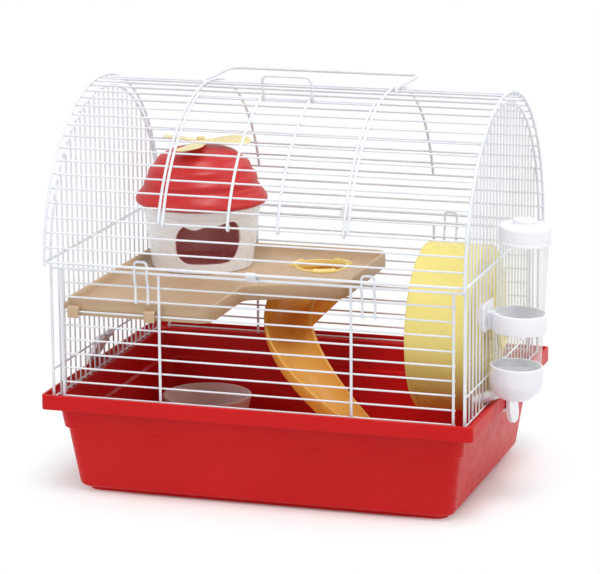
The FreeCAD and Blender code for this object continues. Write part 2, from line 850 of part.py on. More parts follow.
def propeller_pin():
    low = propeller_base() - turn_gap - pin_depth
    neck = propeller_base() + hub_height + turn_gap
    return joined([disc(house_x, house_y, low, neck, pin / 2),
                   disc(house_x, house_y, neck, neck + pin_head_height, pin_head / 2)])


# Solids of the wheel are turned about Z and then laid on the axle, with Z becoming +X.
def on_axle(shape, x):
    shape.rotate(V(0, 0, 0), V(0, 1, 0), 90)
    shape.translate(V(x, 0, shelf + wheel_rise))
    return shape


def hub_end():
    return bar_x - thin - bracket_reach - turn_gap


def wheel_drum():
    radius = wheel / 2
    inside = radius - wheel_wall
    disc_out = wheel_width
    disc_in = wheel_width - wheel_wall
    bore = axle / 2 + pivot_gap
    tube_radius = wheel_hub / 2
    pairs = [(bore, disc_out + hub_out), (bore, disc_in - hub_in), (tube_radius, disc_in - hub_in),
             (tube_radius, disc_in), (inside, disc_in), (inside, wheel_wall), (radius - wheel_lip, wheel_wall),
             (radius - wheel_lip, 0), (radius, 0), (radius, disc_out), (tube_radius, disc_out),
             (tube_radius, disc_out + hub_out)]
    bends = [0, 0, 0, wheel_round, wheel_round, 0, 0, 0, wheel_round, wheel_round, 0, 0]
    return on_axle(turned(pairs, bends), hub_end() - hub_out - wheel_width)


def wheel_axle():
    head = hub_end() - hub_out - wheel_wall - hub_in - turn_gap
    end = bar_x + thin + plate_wall + nut_height + axle_tail
    z = shelf + wheel_rise
    return joined([rod(V(head - axle_head_height, 0, z), V(head, 0, z), axle_head / 2),
                   rod(V(head, 0, z), V(end, 0, z), axle / 2)])


def axle_piece(first, last, radius):
    z = shelf + wheel_rise
    return rod(V(first, 0, z), V(last, 0, z), radius)


def wheel_bracket():
    inner = bar_x - thin
    flange = axle_piece(inner - bracket_wall, inner, bracket / 2)
    boss_part = axle_piece(inner - bracket_reach, inner, bracket_boss / 2)
    return joined([flange, boss_part]).cut(axle_piece(inner - bracket_reach, inner, axle / 2))


def wheel_plate():
    inner = bar_x + thin
    whole = axle_piece(inner, inner + plate_wall, plate / 2)
    return whole.cut(axle_piece(inner, inner + plate_wall, axle / 2))


def wheel_nut():
    first = bar_x + thin + plate_wall
    z = shelf + wheel_rise
    corner = nut / 2 / math.cos(math.radians(30))
    turns = [math.radians(60 * side) for side in range(7)]
    ends = [V(first, corner * math.cos(turn), z + corner * math.sin(turn)) for turn in turns]
    whole = Part.Face(Part.makePolygon(ends)).extrude(V(nut_height, 0, 0))
    return whole.cut(axle_piece(first, first + nut_height, axle / 2))


def bottle_axis():
    return V(bar_x + thin + holder_sheet + bottle_off, -bottle_bars * bar_pitch, shelf + bottle_rise)


# The bottle leans about the middle of the holder's ring.
def leaning(shape):
    axis = bottle_axis()
    pivot = V(axis.x, axis.y, shelf + holder_rise + ring_height / 2)
    shape.rotate(pivot, V(0, 1, 0), bottle_lean)
    return shape


def bottle_tube():
    shape = turned([(tube / 2 - tube_wall, 0), (tube / 2, 0), (tube / 2, tube_length),
                    (tube / 2 - tube_wall, tube_length)], [0] * 4)
    shape.translate(bottle_axis())
    return leaning(shape)


def bottle_cap():
    inside = tube / 2 + pivot_gap
    outside = inside + cap_wall
    low = tube_length - cap_seat
    top = low + cap_height
    roof = top - cap_wall
    knob = cap_boss / 2
    end = top + cap_boss_height
    shape = turned([(inside, low), (outside, low), (outside, top), (knob, top), (knob, end), (0, end),
                    (0, roof), (inside, roof)], [0, 0, cap_round, cap_wall, cap_wall, 0, 0, 0])
    shape.translate(bottle_axis())
    return leaning(shape)


def spout_line():
    axis = bottle_axis()
    root = V(axis.x - tube / 2 + spout_root, axis.y, shelf + spout_rise)
    end = V(bar_x - spout_inside, axis.y, shelf + spout_rise - spout_fall)
    return root, end


def bottle_cup():
    inside = tube / 2
    outside = inside + cup_wall
    low = cup_seat - cup_height
    shape = turned([(0, low), (outside, low), (outside, cup_seat), (inside, cup_seat), (inside, low + cup_wall),
                    (0, low + cup_wall)], [0, cup_round, 0, 0, cup_round - cup_wall, 0])
    shape.translate(bottle_axis())
    root, end = spout_line()
    return leaning(shape).cut(rod(root, end, spout / 2))


def bottle_spout():
    root, end = spout_line()
    back = root.sub(end).normalize()
    body = rod(root, end, spout / 2)
    mouth = rod(end - back * overrun, root, spout_mouth / 2)
    return body.cut([rod(end + back * spout_lip, root + back * overrun, spout_bore / 2), mouth])


def spout_ball():
    root, end = spout_line()
    back = root.sub(end).normalize()
    seat = math.sqrt(ball * ball - spout_mouth * spout_mouth) / 2
    return Part.makeSphere(ball / 2, end + back * (spout_lip + seat + ball_gap))


# Ring round the bottle with a plate outside the bars and a backing plate inside them.
def bottle_holder():
    axis = bottle_axis()
    low = shelf + holder_rise
    high = low + holder_height
    outside = tube / 2 + holder_wall
    face = bar_x + thin
    half = holder_plate / 2
    neck = holder_neck / 2
    back = holder_back / 2
    middle = (low + high) / 2
    ring = leaning(disc(axis.x, axis.y, low, low + ring_height, outside))
    plate_part = block(V(face, axis.y - half, low), V(face + holder_sheet, axis.y + half, high))
    bridge = block(V(face, axis.y - neck, low), V(axis.x, axis.y + neck, low + ring_height))
    lug = block(V(bar_x - thin - holder_sheet, axis.y - holder_lug / 2, middle - back),
                V(face + holder_sheet, axis.y + holder_lug / 2, middle + back))
    backing = block(V(bar_x - thin - holder_sheet, axis.y - back, middle - back),
                    V(bar_x - thin, axis.y + back, middle + back))
    whole = joined([ring, plate_part, bridge, lug, backing])
    return whole.cut(leaning(disc(axis.x, axis.y, low - overrun, high + overrun, tube / 2)))


def food_bowl():
    shape = turned([(0, 0), (bowl_foot / 2, 0), (bowl / 2, bowl_height), (bowl / 2 - bowl_wall, bowl_height),
                    (bowl_foot / 2 - bowl_wall, bowl_wall), (0, bowl_wall)],
                   [0, bowl_round, 0, 0, bowl_round - bowl_wall / 2, 0])
    shape.translate(V(bowl_x, bowl_y, floor_top))
    return shape


nodes = {
    "base_tray": base_tray(),
    "front_panel": long_panel(-1),
    "back_panel": long_panel(1),
    "left_end_bars": end_bars(-1),
    "right_end_bars": end_bars(1),
    "left_end_border": end_border(-1),
    "right_end_border": end_border(1),
    "roof_ring": roof_ring(),
    "roof_wires": roof_wires(),
    "left_end_arch": end_arch(-1),
    "right_end_arch": end_arch(1),
    "left_middle_arch": mid_arch(-1),
    "right_middle_arch": mid_arch(1),
    "door_arcs": door_arcs(),
    "door_wires": door_wires(),
    "door_pull": door_pull(),
    "carry_handle": carry_handle(),
    "front_roof_loops": roof_loops(-1),
    "back_roof_loops": roof_loops(1),
    "roof_ties": roof_ties(),
    "left_base_clip": base_clip(-1),
    "right_base_clip": base_clip(1),
    "platform": platform(),
    "chute_collar": chute_collar(),
    "chute": chute(),
    "house_body": house_body(),
    "house_roof": house_roof(),
    "propeller": propeller(),
    "propeller_pin": propeller_pin(),
    "wheel_drum": wheel_drum(),
    "wheel_axle": wheel_axle(),
    "wheel_bracket": wheel_bracket(),
    "wheel_plate": wheel_plate(),
    "wheel_nut": wheel_nut(),
    "bottle_tube": bottle_tube(),
    "bottle_cap": bottle_cap(),
    "bottle_cup": bottle_cup(),
    "bottle_spout": bottle_spout(),
    "spout_ball": spout_ball(),
    "bottle_holder": bottle_holder(),
    "food_bowl": food_bowl(),
}

os.makedirs("parts", exist_ok=True)
for name, shape in nodes.items():
    shape.exportStep("parts/" + name + ".step")
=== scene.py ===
import json
import math
import bmesh
import bpy
import numpy as np
from mathutils import Matrix


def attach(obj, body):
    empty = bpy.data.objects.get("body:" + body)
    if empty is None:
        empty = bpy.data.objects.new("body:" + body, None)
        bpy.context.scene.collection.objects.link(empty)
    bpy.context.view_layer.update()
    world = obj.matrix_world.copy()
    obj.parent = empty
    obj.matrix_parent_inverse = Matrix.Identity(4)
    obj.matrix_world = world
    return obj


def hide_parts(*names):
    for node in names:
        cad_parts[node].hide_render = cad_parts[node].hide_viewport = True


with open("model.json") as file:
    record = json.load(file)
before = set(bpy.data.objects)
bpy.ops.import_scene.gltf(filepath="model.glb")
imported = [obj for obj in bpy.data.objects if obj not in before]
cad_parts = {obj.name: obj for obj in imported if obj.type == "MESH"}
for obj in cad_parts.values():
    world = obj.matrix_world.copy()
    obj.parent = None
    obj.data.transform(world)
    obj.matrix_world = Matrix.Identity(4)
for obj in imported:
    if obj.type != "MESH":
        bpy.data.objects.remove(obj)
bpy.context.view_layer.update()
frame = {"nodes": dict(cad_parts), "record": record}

print("frame loaded:", len(frame["nodes"]), "nodes")


# Colours are written as they look on screen and turned into light values here.
def linear(code):
    part = np.array([int(code[i:i + 2], 16) for i in (1, 3, 5)]) / 255
    light = np.where(part <= 0.04045, part / 12.92, ((part + 0.055) / 1.055) ** 2.4)
    return (*light.tolist(), 1.0)


# A node with some of its sockets set to fixed values.
def addNode(tree, kind, **values):
    node = tree.nodes.new(kind)
    for socket, value in values.items():
        node.inputs[socket].default_value = value
    return node


# Noise at a place, with the place stretched along its axes first where a stretch is given.
def noiseField(tree, coords, scale, detail, stretch=None):
    node = addNode(tree, "ShaderNodeTexNoise", Scale=scale, Detail=detail)
    if stretch:
        mapping = addNode(tree, "ShaderNodeMapping", Scale=stretch)
        tree.links.new(coords, mapping.inputs["Vector"])
        coords = mapping.outputs["Vector"]
    tree.links.new(coords, node.inputs["Vector"])
    return node.outputs["Fac"]


# A value carried evenly from one range to another.
def ranged(tree, value, low, high, start=0.3, stop=0.7):
    node = tree.nodes.new("ShaderNodeMapRange")
    for socket, number in zip(("From Min", "From Max", "To Min", "To Max"), (start, stop, low, high)):
        node.inputs[socket].default_value = number
    tree.links.new(value, node.inputs["Value"])
    return node.outputs["Result"]


# The first colour turned into the second by the factor; the node's colour sockets are 6 and 7.
def mixedColour(tree, factor, first, second):
    node = tree.nodes.new("ShaderNodeMix")
    node.data_type = "RGBA"
    for socket, value in ((node.inputs[0], factor), (node.inputs[6], first), (node.inputs[7], second)):
        if isinstance(value, bpy.types.NodeSocket):
            tree.links.new(value, socket)
        else:
            socket.default_value = value
    return node.outputs[2]


# A moulded or coated finish: slow colour drift, fine scuffs in the gloss, a grain in the bump
# and paler edges where the piece carries a wear attribute. A glow lets light through a thin wall, and an
# inside colour is painted light: a rose tint on the faces inside a closed room that stands for red light
# bounced from the roof.
def finish(name, look):
    material = bpy.data.materials.new(name)
    material.use_nodes = True
    tree = material.node_tree
    shader = tree.nodes["Principled BSDF"]
    coords = tree.nodes.new("ShaderNodeTexCoord").outputs["Object"]
    drift = ranged(tree, noiseField(tree, coords, look["driftScale"], look["driftDetail"]), 0.0, 1.0)
    colour = mixedColour(tree, drift, linear(look["colour"]), linear(look["shade"]))
    wear = tree.nodes.new("ShaderNodeAttribute")
    wear.attribute_name = "wear"
    worn = tree.nodes.new("ShaderNodeMath")
    worn.operation = "MULTIPLY"
    tree.links.new(wear.outputs["Fac"], worn.inputs[0])
    patches = noiseField(tree, coords, look["wearScale"], look["wearDetail"])
    tree.links.new(ranged(tree, patches, 0.0, look["wear"], *look["wearRange"]), worn.inputs[1])
    colour = mixedColour(tree, worn.outputs[0], colour, linear(look["edge"]))
    # Painted light: faces marked inside the house turn rose, standing for red light bounced from the roof.
    if "inside" in look:
        paintedBounce = tree.nodes.new("ShaderNodeAttribute")
        paintedBounce.attribute_name = "inside"
        colour = mixedColour(tree, paintedBounce.outputs["Fac"], colour, linear(look["inside"]))
    tree.links.new(colour, shader.inputs["Base Color"])
    scuffs = noiseField(tree, coords, look["scuffScale"], look["scuffDetail"], look.get("scuffStretch"))
    tree.links.new(ranged(tree, scuffs, *look["rough"]), shader.inputs["Roughness"])
    grain = noiseField(tree, coords, look["grainScale"], look["grainDetail"])
    bump = addNode(tree, "ShaderNodeBump", Strength=look["grain"], Distance=look["grainDepth"])
    tree.links.new(grain, bump.inputs["Height"])
    tree.links.new(bump.outputs["Normal"], shader.inputs["Normal"])
    if "veil" in look:
        edgeOn = tree.nodes.new("ShaderNodeLayerWeight").outputs["Facing"]
        tree.links.new(ranged(tree, edgeOn, *look["veil"], 0.0, 1.0), shader.inputs["Alpha"])
    for socket, value in look.get("shader", {}).items():
        shader.inputs[socket].default_value = value
    if "glow" in look:
        through = tree.nodes.new("ShaderNodeBsdfTranslucent")
        tree.links.new(colour, through.inputs["Color"])
        mix = addNode(tree, "ShaderNodeMixShader", Fac=look["glow"])
        tree.links.new(shader.outputs["BSDF"], mix.inputs[1])
        tree.links.new(through.outputs["BSDF"], mix.inputs[2])
        tree.links.new(mix.outputs["Shader"], tree.nodes["Material Output"].inputs["Surface"])
    return material


plain = {"driftScale": 9.0, "driftDetail": 3.0, "wearScale": 160.0, "wearDetail": 4.0, "wear": 0.35,
         "wearRange": (0.35, 0.75), "scuffScale": 130.0, "scuffDetail": 5.0, "grainScale": 900.0,
         "grainDetail": 2.0, "grain": 0.25, "grainDepth": 0.00003}

finishes = {
    "tray_plastic": {"colour": "#CE1719", "shade": "#C51315", "edge": "#DE5552", "rough": (0.32, 0.44),
                     "shader": {"Specular IOR Level": 0.16}},
    "white_wire": {"colour": "#EAEDF3", "shade": "#DEE2E9", "edge": "#FFFFFF", "rough": (0.26, 0.40),
                   "driftScale": 40.0, "shader": {"Specular IOR Level": 0.3}},
    "white_plastic": {"colour": "#F4F4F9", "shade": "#ECECF3", "edge": "#FFFFFF", "rough": (0.22, 0.34),
                      "grain": 0.1, "shader": {"Coat Weight": 0.1}},
    "tan_plastic": {"colour": "#C2A584", "shade": "#BA9A78", "edge": "#E2D2BE", "rough": (0.42, 0.56),
                    "grainDepth": 0.00005},
    "amber_plastic": {"colour": "#FFDC80", "shade": "#FDD474", "edge": "#FFEDB6", "rough": (0.22, 0.34),
                      "grain": 0.1, "glow": 0.5, "shader": {"Specular IOR Level": 0.2}},
    # Painted light: a paler, lit copy of the amber plastic for the collar, standing in for light that comes
    # through the hole.
    "collar_lit_amber": {"colour": "#FFE892", "shade": "#FEE286", "edge": "#FFF2C4", "rough": (0.22, 0.34),
                       "grain": 0.1, "glow": 0.1},
    # The house's inside colour is painted rose bounce light from the red roof, not the plastic's own colour.
    "house_plastic": {"colour": "#F8FBFF", "shade": "#F3F6FD", "edge": "#FFFFFF", "rough": (0.24, 0.36),
                      "grain": 0.08, "inside": "#FFDAD8"},
    "roof_plastic": {"colour": "#E43537", "shade": "#DC3032", "edge": "#F08A85", "rough": (0.30, 0.42),
                     "grain": 0.12, "glow": 0.28},
    "cream_plastic": {"colour": "#F4E6A8", "shade": "#EDDC98", "edge": "#FBF4D6", "rough": (0.22, 0.36),
                      "grain": 0.08, "shader": {"Coat Weight": 0.1}},
    "wheel_plastic": {"colour": "#FDF29A", "shade": "#FBEE92", "edge": "#FEF9D2", "rough": (0.20, 0.32),
                      "grain": 0.06, "glow": 0.25, "shader": {"Specular IOR Level": 0.2}},
    "steel": {"colour": "#C4C6C9", "shade": "#AEB0B4", "edge": "#DDDEE0", "rough": (0.22, 0.40),
              "scuffStretch": (1.0, 14.0, 14.0), "shader": {"Metallic": 1.0}},
    "clear_plastic": {"colour": "#EEF2F3", "shade": "#E6ECEE", "edge": "#FFFFFF", "rough": (0.05, 0.12),
                      "veil": (0.04, 0.50)},
    "bowl_plastic": {"colour": "#FFF7F6", "shade": "#FBEFEE", "edge": "#FFFFFF", "rough": (0.26, 0.40),
                     "veil": (0.42, 0.90)},
}
looks = {slot: finish(slot + "_finish", {**plain, **values}) for slot, values in finishes.items()}
for subpart in frame["record"]["subparts"]:
    slots = frame["nodes"][subpart["node"]].data.materials
    slots.clear()
    slots.append(looks[subpart["material_slot"]])
print("finishes:", len(looks))


# Quads of a grid of points, row by row; a closed way joins its last line to its first.
def gridFaces(rows, cols, closeRows, closeCols):
    row, col = np.meshgrid(np.arange(rows - 1 + closeRows), np.arange(cols - 1 + closeCols),
                           indexing="ij")
    nextRow, nextCol = (row + 1) % rows, (col + 1) % cols
    corners = [row * cols + col, row * cols + nextCol, nextRow * cols + nextCol, nextRow * cols + col]
    return np.stack(corners, -1).reshape(-1, 4)


# Points and quads of one grid surface.
def grid(points, closeRows=False, closeCols=True):
    rows, cols = points.shape[:2]
    return points.reshape(-1, 3), gridFaces(rows, cols, closeRows, closeCols).tolist()


# A grid whose first and last rows are filled with one flat face each.
def capped(points):
    verts, faces = grid(points)
    rows, cols = points.shape[:2]
    first = np.arange(cols)
    return verts, faces + [first[::-1].tolist(), (first + (rows - 1) * cols).tolist()]


# Corners rounded off: each corner becomes an arc of its bend, turned evenly from side to side.
def rounded(corners, bends, steps=5):
    corners = np.array(corners, float)
    line = []
    befores, afters = np.roll(corners, 1, 0), np.roll(corners, -1, 0)
    for corner, before, after, bend in zip(corners, befores, afters, bends):
        if not bend:
            line.append(corner[None])
            continue
        first = (before - corner) / np.linalg.norm(before - corner)
        last = (after - corner) / np.linalg.norm(after - corner)
        half = math.acos(float(np.clip(first @ last, -1, 1))) / 2
        middle = corner + (first + last) / np.linalg.norm(first + last) * bend / math.sin(half)
        reach = bend / math.tan(half)
        swing = math.pi - 2 * half
        part = np.linspace(0, 1, steps + 1)[:, None]
        ends = np.sin((1 - part) * swing) * (corner + first * reach - middle)
        ends = ends + np.sin(part * swing) * (corner + last * reach - middle)
        line.append(middle + ends / math.sin(swing))
    return np.concatenate(line)


# Corners of a closed outline (counter-clockwise) moved inward by the same distance from every side.
def inset(corners, distance):
    corners = np.array(corners, float)
    side = np.roll(corners, -1, 0) - corners
    side = side / np.linalg.norm(side, axis=1)[:, None]
    inward = np.stack([-side[:, 1], side[:, 0]], 1)
    before = np.roll(inward, 1, 0)
    share = 1 + np.sum(inward * before, axis=1)[:, None]
    return corners + distance * (inward + before) / share


# Surface turned about Z from (radius, height) pairs.
def turned(profile, steps, closed=True):
    profile = np.array(profile, float)
    angle = np.linspace(0, 2 * math.pi, steps, endpoint=False)
    points = np.stack([profile[:, :1] * np.cos(angle), profile[:, :1] * np.sin(angle),
                       np.repeat(profile[:, 1:], steps, 1)], -1)
    return grid(points, closed)


edges = {"soft": 0.5, "softShare": 0.3, "leastBend": 0.02}


# Straight piece with a flat outline, drawn in by the softening of its edges at both ends.
def prism(corners, bends, low, high):
    soft, part = edges["soft"], edges["soft"] * edges["softShare"]
    levels = [(soft, low), (part, low + part), (0, low + soft),
              (0, high - soft), (part, high - part), (soft, high)]
    rows = []
    for distance, level in levels:
        tight = [max(bend - distance, edges["leastBend"]) if bend else 0 for bend in bends]
        line = rounded(inset(corners, distance), tight)
        rows.append(np.column_stack([line, np.full(len(line), level)]))
    return capped(np.stack(rows))


# Corners of an upright rectangle from two opposite ones.
def rectangle(x0, y0, x1, y1):
    return [(x0, y0), (x1, y0), (x1, y1), (x0, y1)]


# Points carried to a place, their own axes laid along the three given directions.
def placed(piece, place, axes=((1, 0, 0), (0, 1, 0), (0, 0, 1))):
    return piece[0] @ np.array(axes, float) + np.array(place, float), piece[1]


alongX = ((0, 1, 0), (0, 0, 1), (1, 0, 0))
mm = 0.001
meshing = {"merge": 1e-6, "sharp": 42.0, "leastLine": 1e-9, "wearGain": 4.0, "wearLeast": 0.15}


# Edge wear: how far a point stands out from the points next to it, against the spread between them.
def markWear(mesh):
    count = len(mesh.vertices)
    place = np.empty(count * 3)
    mesh.vertices.foreach_get("co", place)
    normal = np.empty(count * 3)
    mesh.vertex_normals.foreach_get("vector", normal)
    place, normal = place.reshape(-1, 3), normal.reshape(-1, 3)
    edge = np.empty(len(mesh.edges) * 2, int)
    mesh.edges.foreach_get("vertices", edge)
    first, second = edge.reshape(-1, 2).T
    line = place[second] - place[first]
    line = line / np.maximum(np.linalg.norm(line, axis=1), meshing["leastLine"])[:, None]
    stand = np.zeros(count)
    np.add.at(stand, first, -np.sum(line * normal[first], axis=1))
    np.add.at(stand, second, np.sum(line * normal[second], axis=1))
    near = np.bincount(edge, minlength=count)
    wear = np.clip(stand / np.maximum(near, 1) * meshing["wearGain"] - meshing["wearLeast"], 0, 1)
    mesh.attributes.new("wear", "FLOAT", "POINT").data.foreach_set("value", wear)


# One object from several surfaces, in millimetres, that rides on a body in place of CAD nodes. Its
# finish is that of its slot, unless it has one of its own.
def build(name, parts, slot, body, *nodes, look=None):
    verts, faces, start = [], [], 0
    for points, polygons in parts:
        verts.append(points)
        faces += [[index + start for index in polygon] for polygon in polygons]
        start += len(points)
    mesh = bpy.data.meshes.new(name)
    mesh.from_pydata((np.concatenate(verts) * mm).tolist(), [], faces)
    work = bmesh.new()
    work.from_mesh(mesh)
    bmesh.ops.remove_doubles(work, verts=work.verts, dist=meshing["merge"])
    bmesh.ops.recalc_face_normals(work, faces=work.faces)
    work.to_mesh(mesh)
    work.free()
    mesh.shade_smooth()
    mesh.set_sharp_from_angle(angle=math.radians(meshing["sharp"]))
    markWear(mesh)
    mesh.materials.append(looks[look or slot])
    piece = bpy.data.objects.new(name, mesh)
    bpy.context.scene.collection.objects.link(piece)
    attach(piece, body)
    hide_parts(*nodes)
    return piece


# Tray: rows of (inset from the rim, height, corner radius), each drawn as a rounded rectangle.
tray = {"halfX": 175.0, "halfY": 130.5, "footX": 140.1, "footY": 95.6, "footHeight": 3.0,
        "rib": 2.5, "ribInset": 2.0, "cornerSteps": 8,
        "wall": [(32.4, 3.0, 5.0), (32.4, 0.0, 5.0), (27.4, 0.0, 10.0), (27.4, 3.0, 10.0),
                 (21.4, 3.0, 10.0), (14.4, 52.4, 10.0), (12.1, 54.0, 10.0), (8.8, 76.8, 10.0),
                 (2.2, 76.8, 1.8), (2.2, 71.0, 1.8), (0.0, 71.0, 4.0), (0.0, 83.0, 4.0), (2.2, 83.0, 1.8),
                 (2.2, 79.0, 1.8), (11.0, 79.0, 7.8), (14.3, 56.2, 7.8), (16.6, 54.6, 7.8),
                 (23.6, 5.5, 7.8), (26.8, 5.5, 4.6)],
        "bends": [0, 0.6, 0.6, 0.3, 5.0, 0.7, 0.7, 0.6, 0.5, 0.4, 0.6, 0.9, 0.7, 0.9, 1.4, 0.7, 0.7, 2.8, 0]}


# Each row is four quarter circles of its corner radius, moved apart to the four corners.
def roundedRows(rows, halfX, halfY, steps):
    angle = (np.arange(4)[:, None] * 90 + np.linspace(0, 90, steps + 1)).ravel() * math.pi / 180
    signX = np.repeat([1, -1, -1, 1], steps + 1)
    signY = np.repeat([1, 1, -1, -1], steps + 1)
    away, height, corner = (column[:, None] for column in np.array(rows, float).T)
    x = signX * (halfX - away - corner) + corner * np.cos(angle)
    y = signY * (halfY - away - corner) + corner * np.sin(angle)
    return np.stack([x, y, np.broadcast_to(height, x.shape)], -1)


# The walls from under the foot over the rim to the floor inside, and a cross of two ribs under the floor.
def buildTray():
    rows = rounded(tray["wall"], tray["bends"])
    shell = capped(roundedRows(rows, tray["halfX"], tray["halfY"], tray["cornerSteps"]))
    ribs = [prism(rectangle(-x, -y, x, y), [0] * 4, 0.0, tray["footHeight"])
            for x, y in ((tray["footX"] - tray["ribInset"], tray["rib"]),
                         (tray["rib"], tray["footY"] - tray["ribInset"]))]
    build("trayShell", [shell] + ribs, "tray_plastic", "cage", "base_tray")


# Platform: a floor with a hole, and a lip whose section follows the outline; both flat faces are cut
# in two on the line through the middle of the hole.
platform = {"corners": [(-158, -118.75), (-37, -118.75), (-37, -36), (39, -4), (39, 75), (39, 118.75),
                        (-158, 118.75), (-158, 75)],
            "bends": [10, 10, -10, 10, 0, 10, 10, 0], "bendSteps": 6, "cutCorners": (4, 7),
            "hole": (-6.0, 75.0), "holeRadius": 22.5, "holeSteps": 64, "floor": (152.3, 150.3),
            "lip": [(8.0, 152.3), (6.8, 152.7), (5.8, 153.7), (5.0, 155.2), (4.3, 156.8), (3.5, 158.2),
                    (2.5, 159.0), (1.5, 159.3), (0.7, 159.0), (0.2, 158.2), (0.0, 157.0), (0.0, 147.0),
                    (0.3, 146.4), (0.9, 146.3), (1.6, 146.5), (2.0, 147.0), (4.5, 149.4), (7.0, 150.3)],
            "hook": [(117.0, 150.75), (121.55, 150.75), (121.55, 145.2), (123.55, 145.2), (123.55, 154.3),
                     (117.0, 154.3)],
            "hookBends": [0, 0.2, 0.6, 0.6, 1.6, 0], "hooks": (-149.0, -85.6), "hookHalf": 4.5,
            "lug": (-104.05, 147.3, -98.05, 152.3), "lugBend": 0.8, "lugReach": (-164.1, -157.5)}


# Outline corners drawn in step by step give the lip, and each flat face runs from the lip to the hole.
def buildPlatform():
    rows = []
    for away, level in platform["lip"]:
        bends = [abs(bend - away) if bend else 0 for bend in platform["bends"]]
        line = rounded(inset(platform["corners"], away), bends, platform["bendSteps"])
        rows.append(np.column_stack([line, np.full(len(line), level)]))
    lip = np.stack(rows)
    cols = lip.shape[1]
    starts = np.cumsum([0] + [platform["bendSteps"] + 1 if bend else 1 for bend in platform["bends"]])
    right, left = (int(starts[corner]) for corner in platform["cutCorners"])
    steps = platform["holeSteps"]
    half = steps // 2
    angle = np.linspace(0, 2 * math.pi, steps, endpoint=False)
    circle = np.column_stack([platform["hole"][0] + platform["holeRadius"] * np.cos(angle),
                              platform["hole"][1] + platform["holeRadius"] * np.sin(angle)])
    wall = np.stack([np.column_stack([circle, np.full(steps, level)]) for level in platform["floor"]])
    flats = []
    for edge, ring in ((lip[0], wall[0]), (lip[-1], wall[1])):
        back = list(range(right, left + 1)) + [cols + i for i in range(half, -1, -1)]
        front = list(range(left, cols)) + list(range(0, right + 1))
        front += [cols + i % steps for i in range(steps, half - 1, -1)]
        flats.append((np.concatenate([edge, ring]), [back, front]))
    pieces = [grid(lip), grid(wall)] + flats
    for side in (-1, 1):
        shape = [(side * y, z) for y, z in platform["hook"]][::side]
        for x in platform["hooks"]:
            hook = prism(shape, platform["hookBends"][::side], -platform["hookHalf"], platform["hookHalf"])
            pieces.append(placed(hook, (x, 0, 0), alongX))
    lug = prism(rectangle(*platform["lug"]), [platform["lugBend"]] * 4, *platform["lugReach"])
    pieces.append(placed(lug, (0, 0, 0), alongX))
    build("platformBoard", pieces, "tan_plastic", "cage", "platform")


# Chute: a round trough carried down a spiral, as wide as the hole at its inlet, narrower at its neck and
# wide again at its mouth. Its sides end at the lip, or at the platform where that is lower.
chute = {"axis": (55.544, 26.917), "radius": 72.4, "offset": 5.7, "inlet": 21.5, "neck": 17.0, "mouth": 21.0,
         "wall": 2.0, "highLip": 6.5, "lowLip": 1.0, "lipRound": 0.8, "start": 125.0, "turn": 177.0,
         "bed": (129.0, 7.8, -181.3, 52.0), "inletEnd": 0.15, "neckPlace": 0.36, "under": 150.25,
         "wallTurn": (-97.0, 40.0), "wallSteps": 36, "wallOut": (-0.2, 0.2, 1.0, 1.4, 1.4, -0.2),
         "wallEdge": (0.4, 0.0, 0.0, 0.4), "cutHeight": 107.7, "cutSlope": 1.07, "rows": 120, "half": 16}


# Half section from the bed up to the top: an arc that stops at the top, then a straight lip.
def troughSide(radius, rise):
    stop = np.where(rise < 0, np.arccos(np.clip(-rise / radius, -1, 1)), math.pi / 2)[:, None]
    share = np.linspace(0, 1, chute["half"] + 1)
    out = radius[:, None] * np.sin(stop * share)
    up = -radius[:, None] * np.cos(stop * share)
    lip = np.maximum(np.maximum(rise, 0)[:, None] - chute["lipRound"], 0)
    return np.hstack([out, out[:, -1:]]), np.hstack([up, up[:, -1:] + lip])


# Upright wall round part of the hole, from the platform down to a slanted edge over the trough.
def inletWall():
    holeX, holeY = platform["hole"]
    angle = np.radians(np.linspace(*chute["wallTurn"], chute["wallSteps"]))[:, None]
    low = chute["cutHeight"] + chute["cutSlope"] * chute["inlet"] * np.cos(angle)
    radius = chute["inlet"] + np.array(chute["wallOut"])
    level = np.hstack([low + np.array(chute["wallEdge"]), np.full((chute["wallSteps"], 2), chute["under"])])
    return capped(np.stack([holeX + radius * np.cos(angle), holeY + radius * np.sin(angle), level], -1))


# Points on the spiral at a distance from its axis, moved along the spiral by a step.
def spiralPoints(away, angle, level, step=0.0):
    return np.stack([chute["axis"][0] + away * np.cos(angle) + step * np.sin(angle),
                     chute["axis"][1] + away * np.sin(angle) - step * np.cos(angle), level], -1)


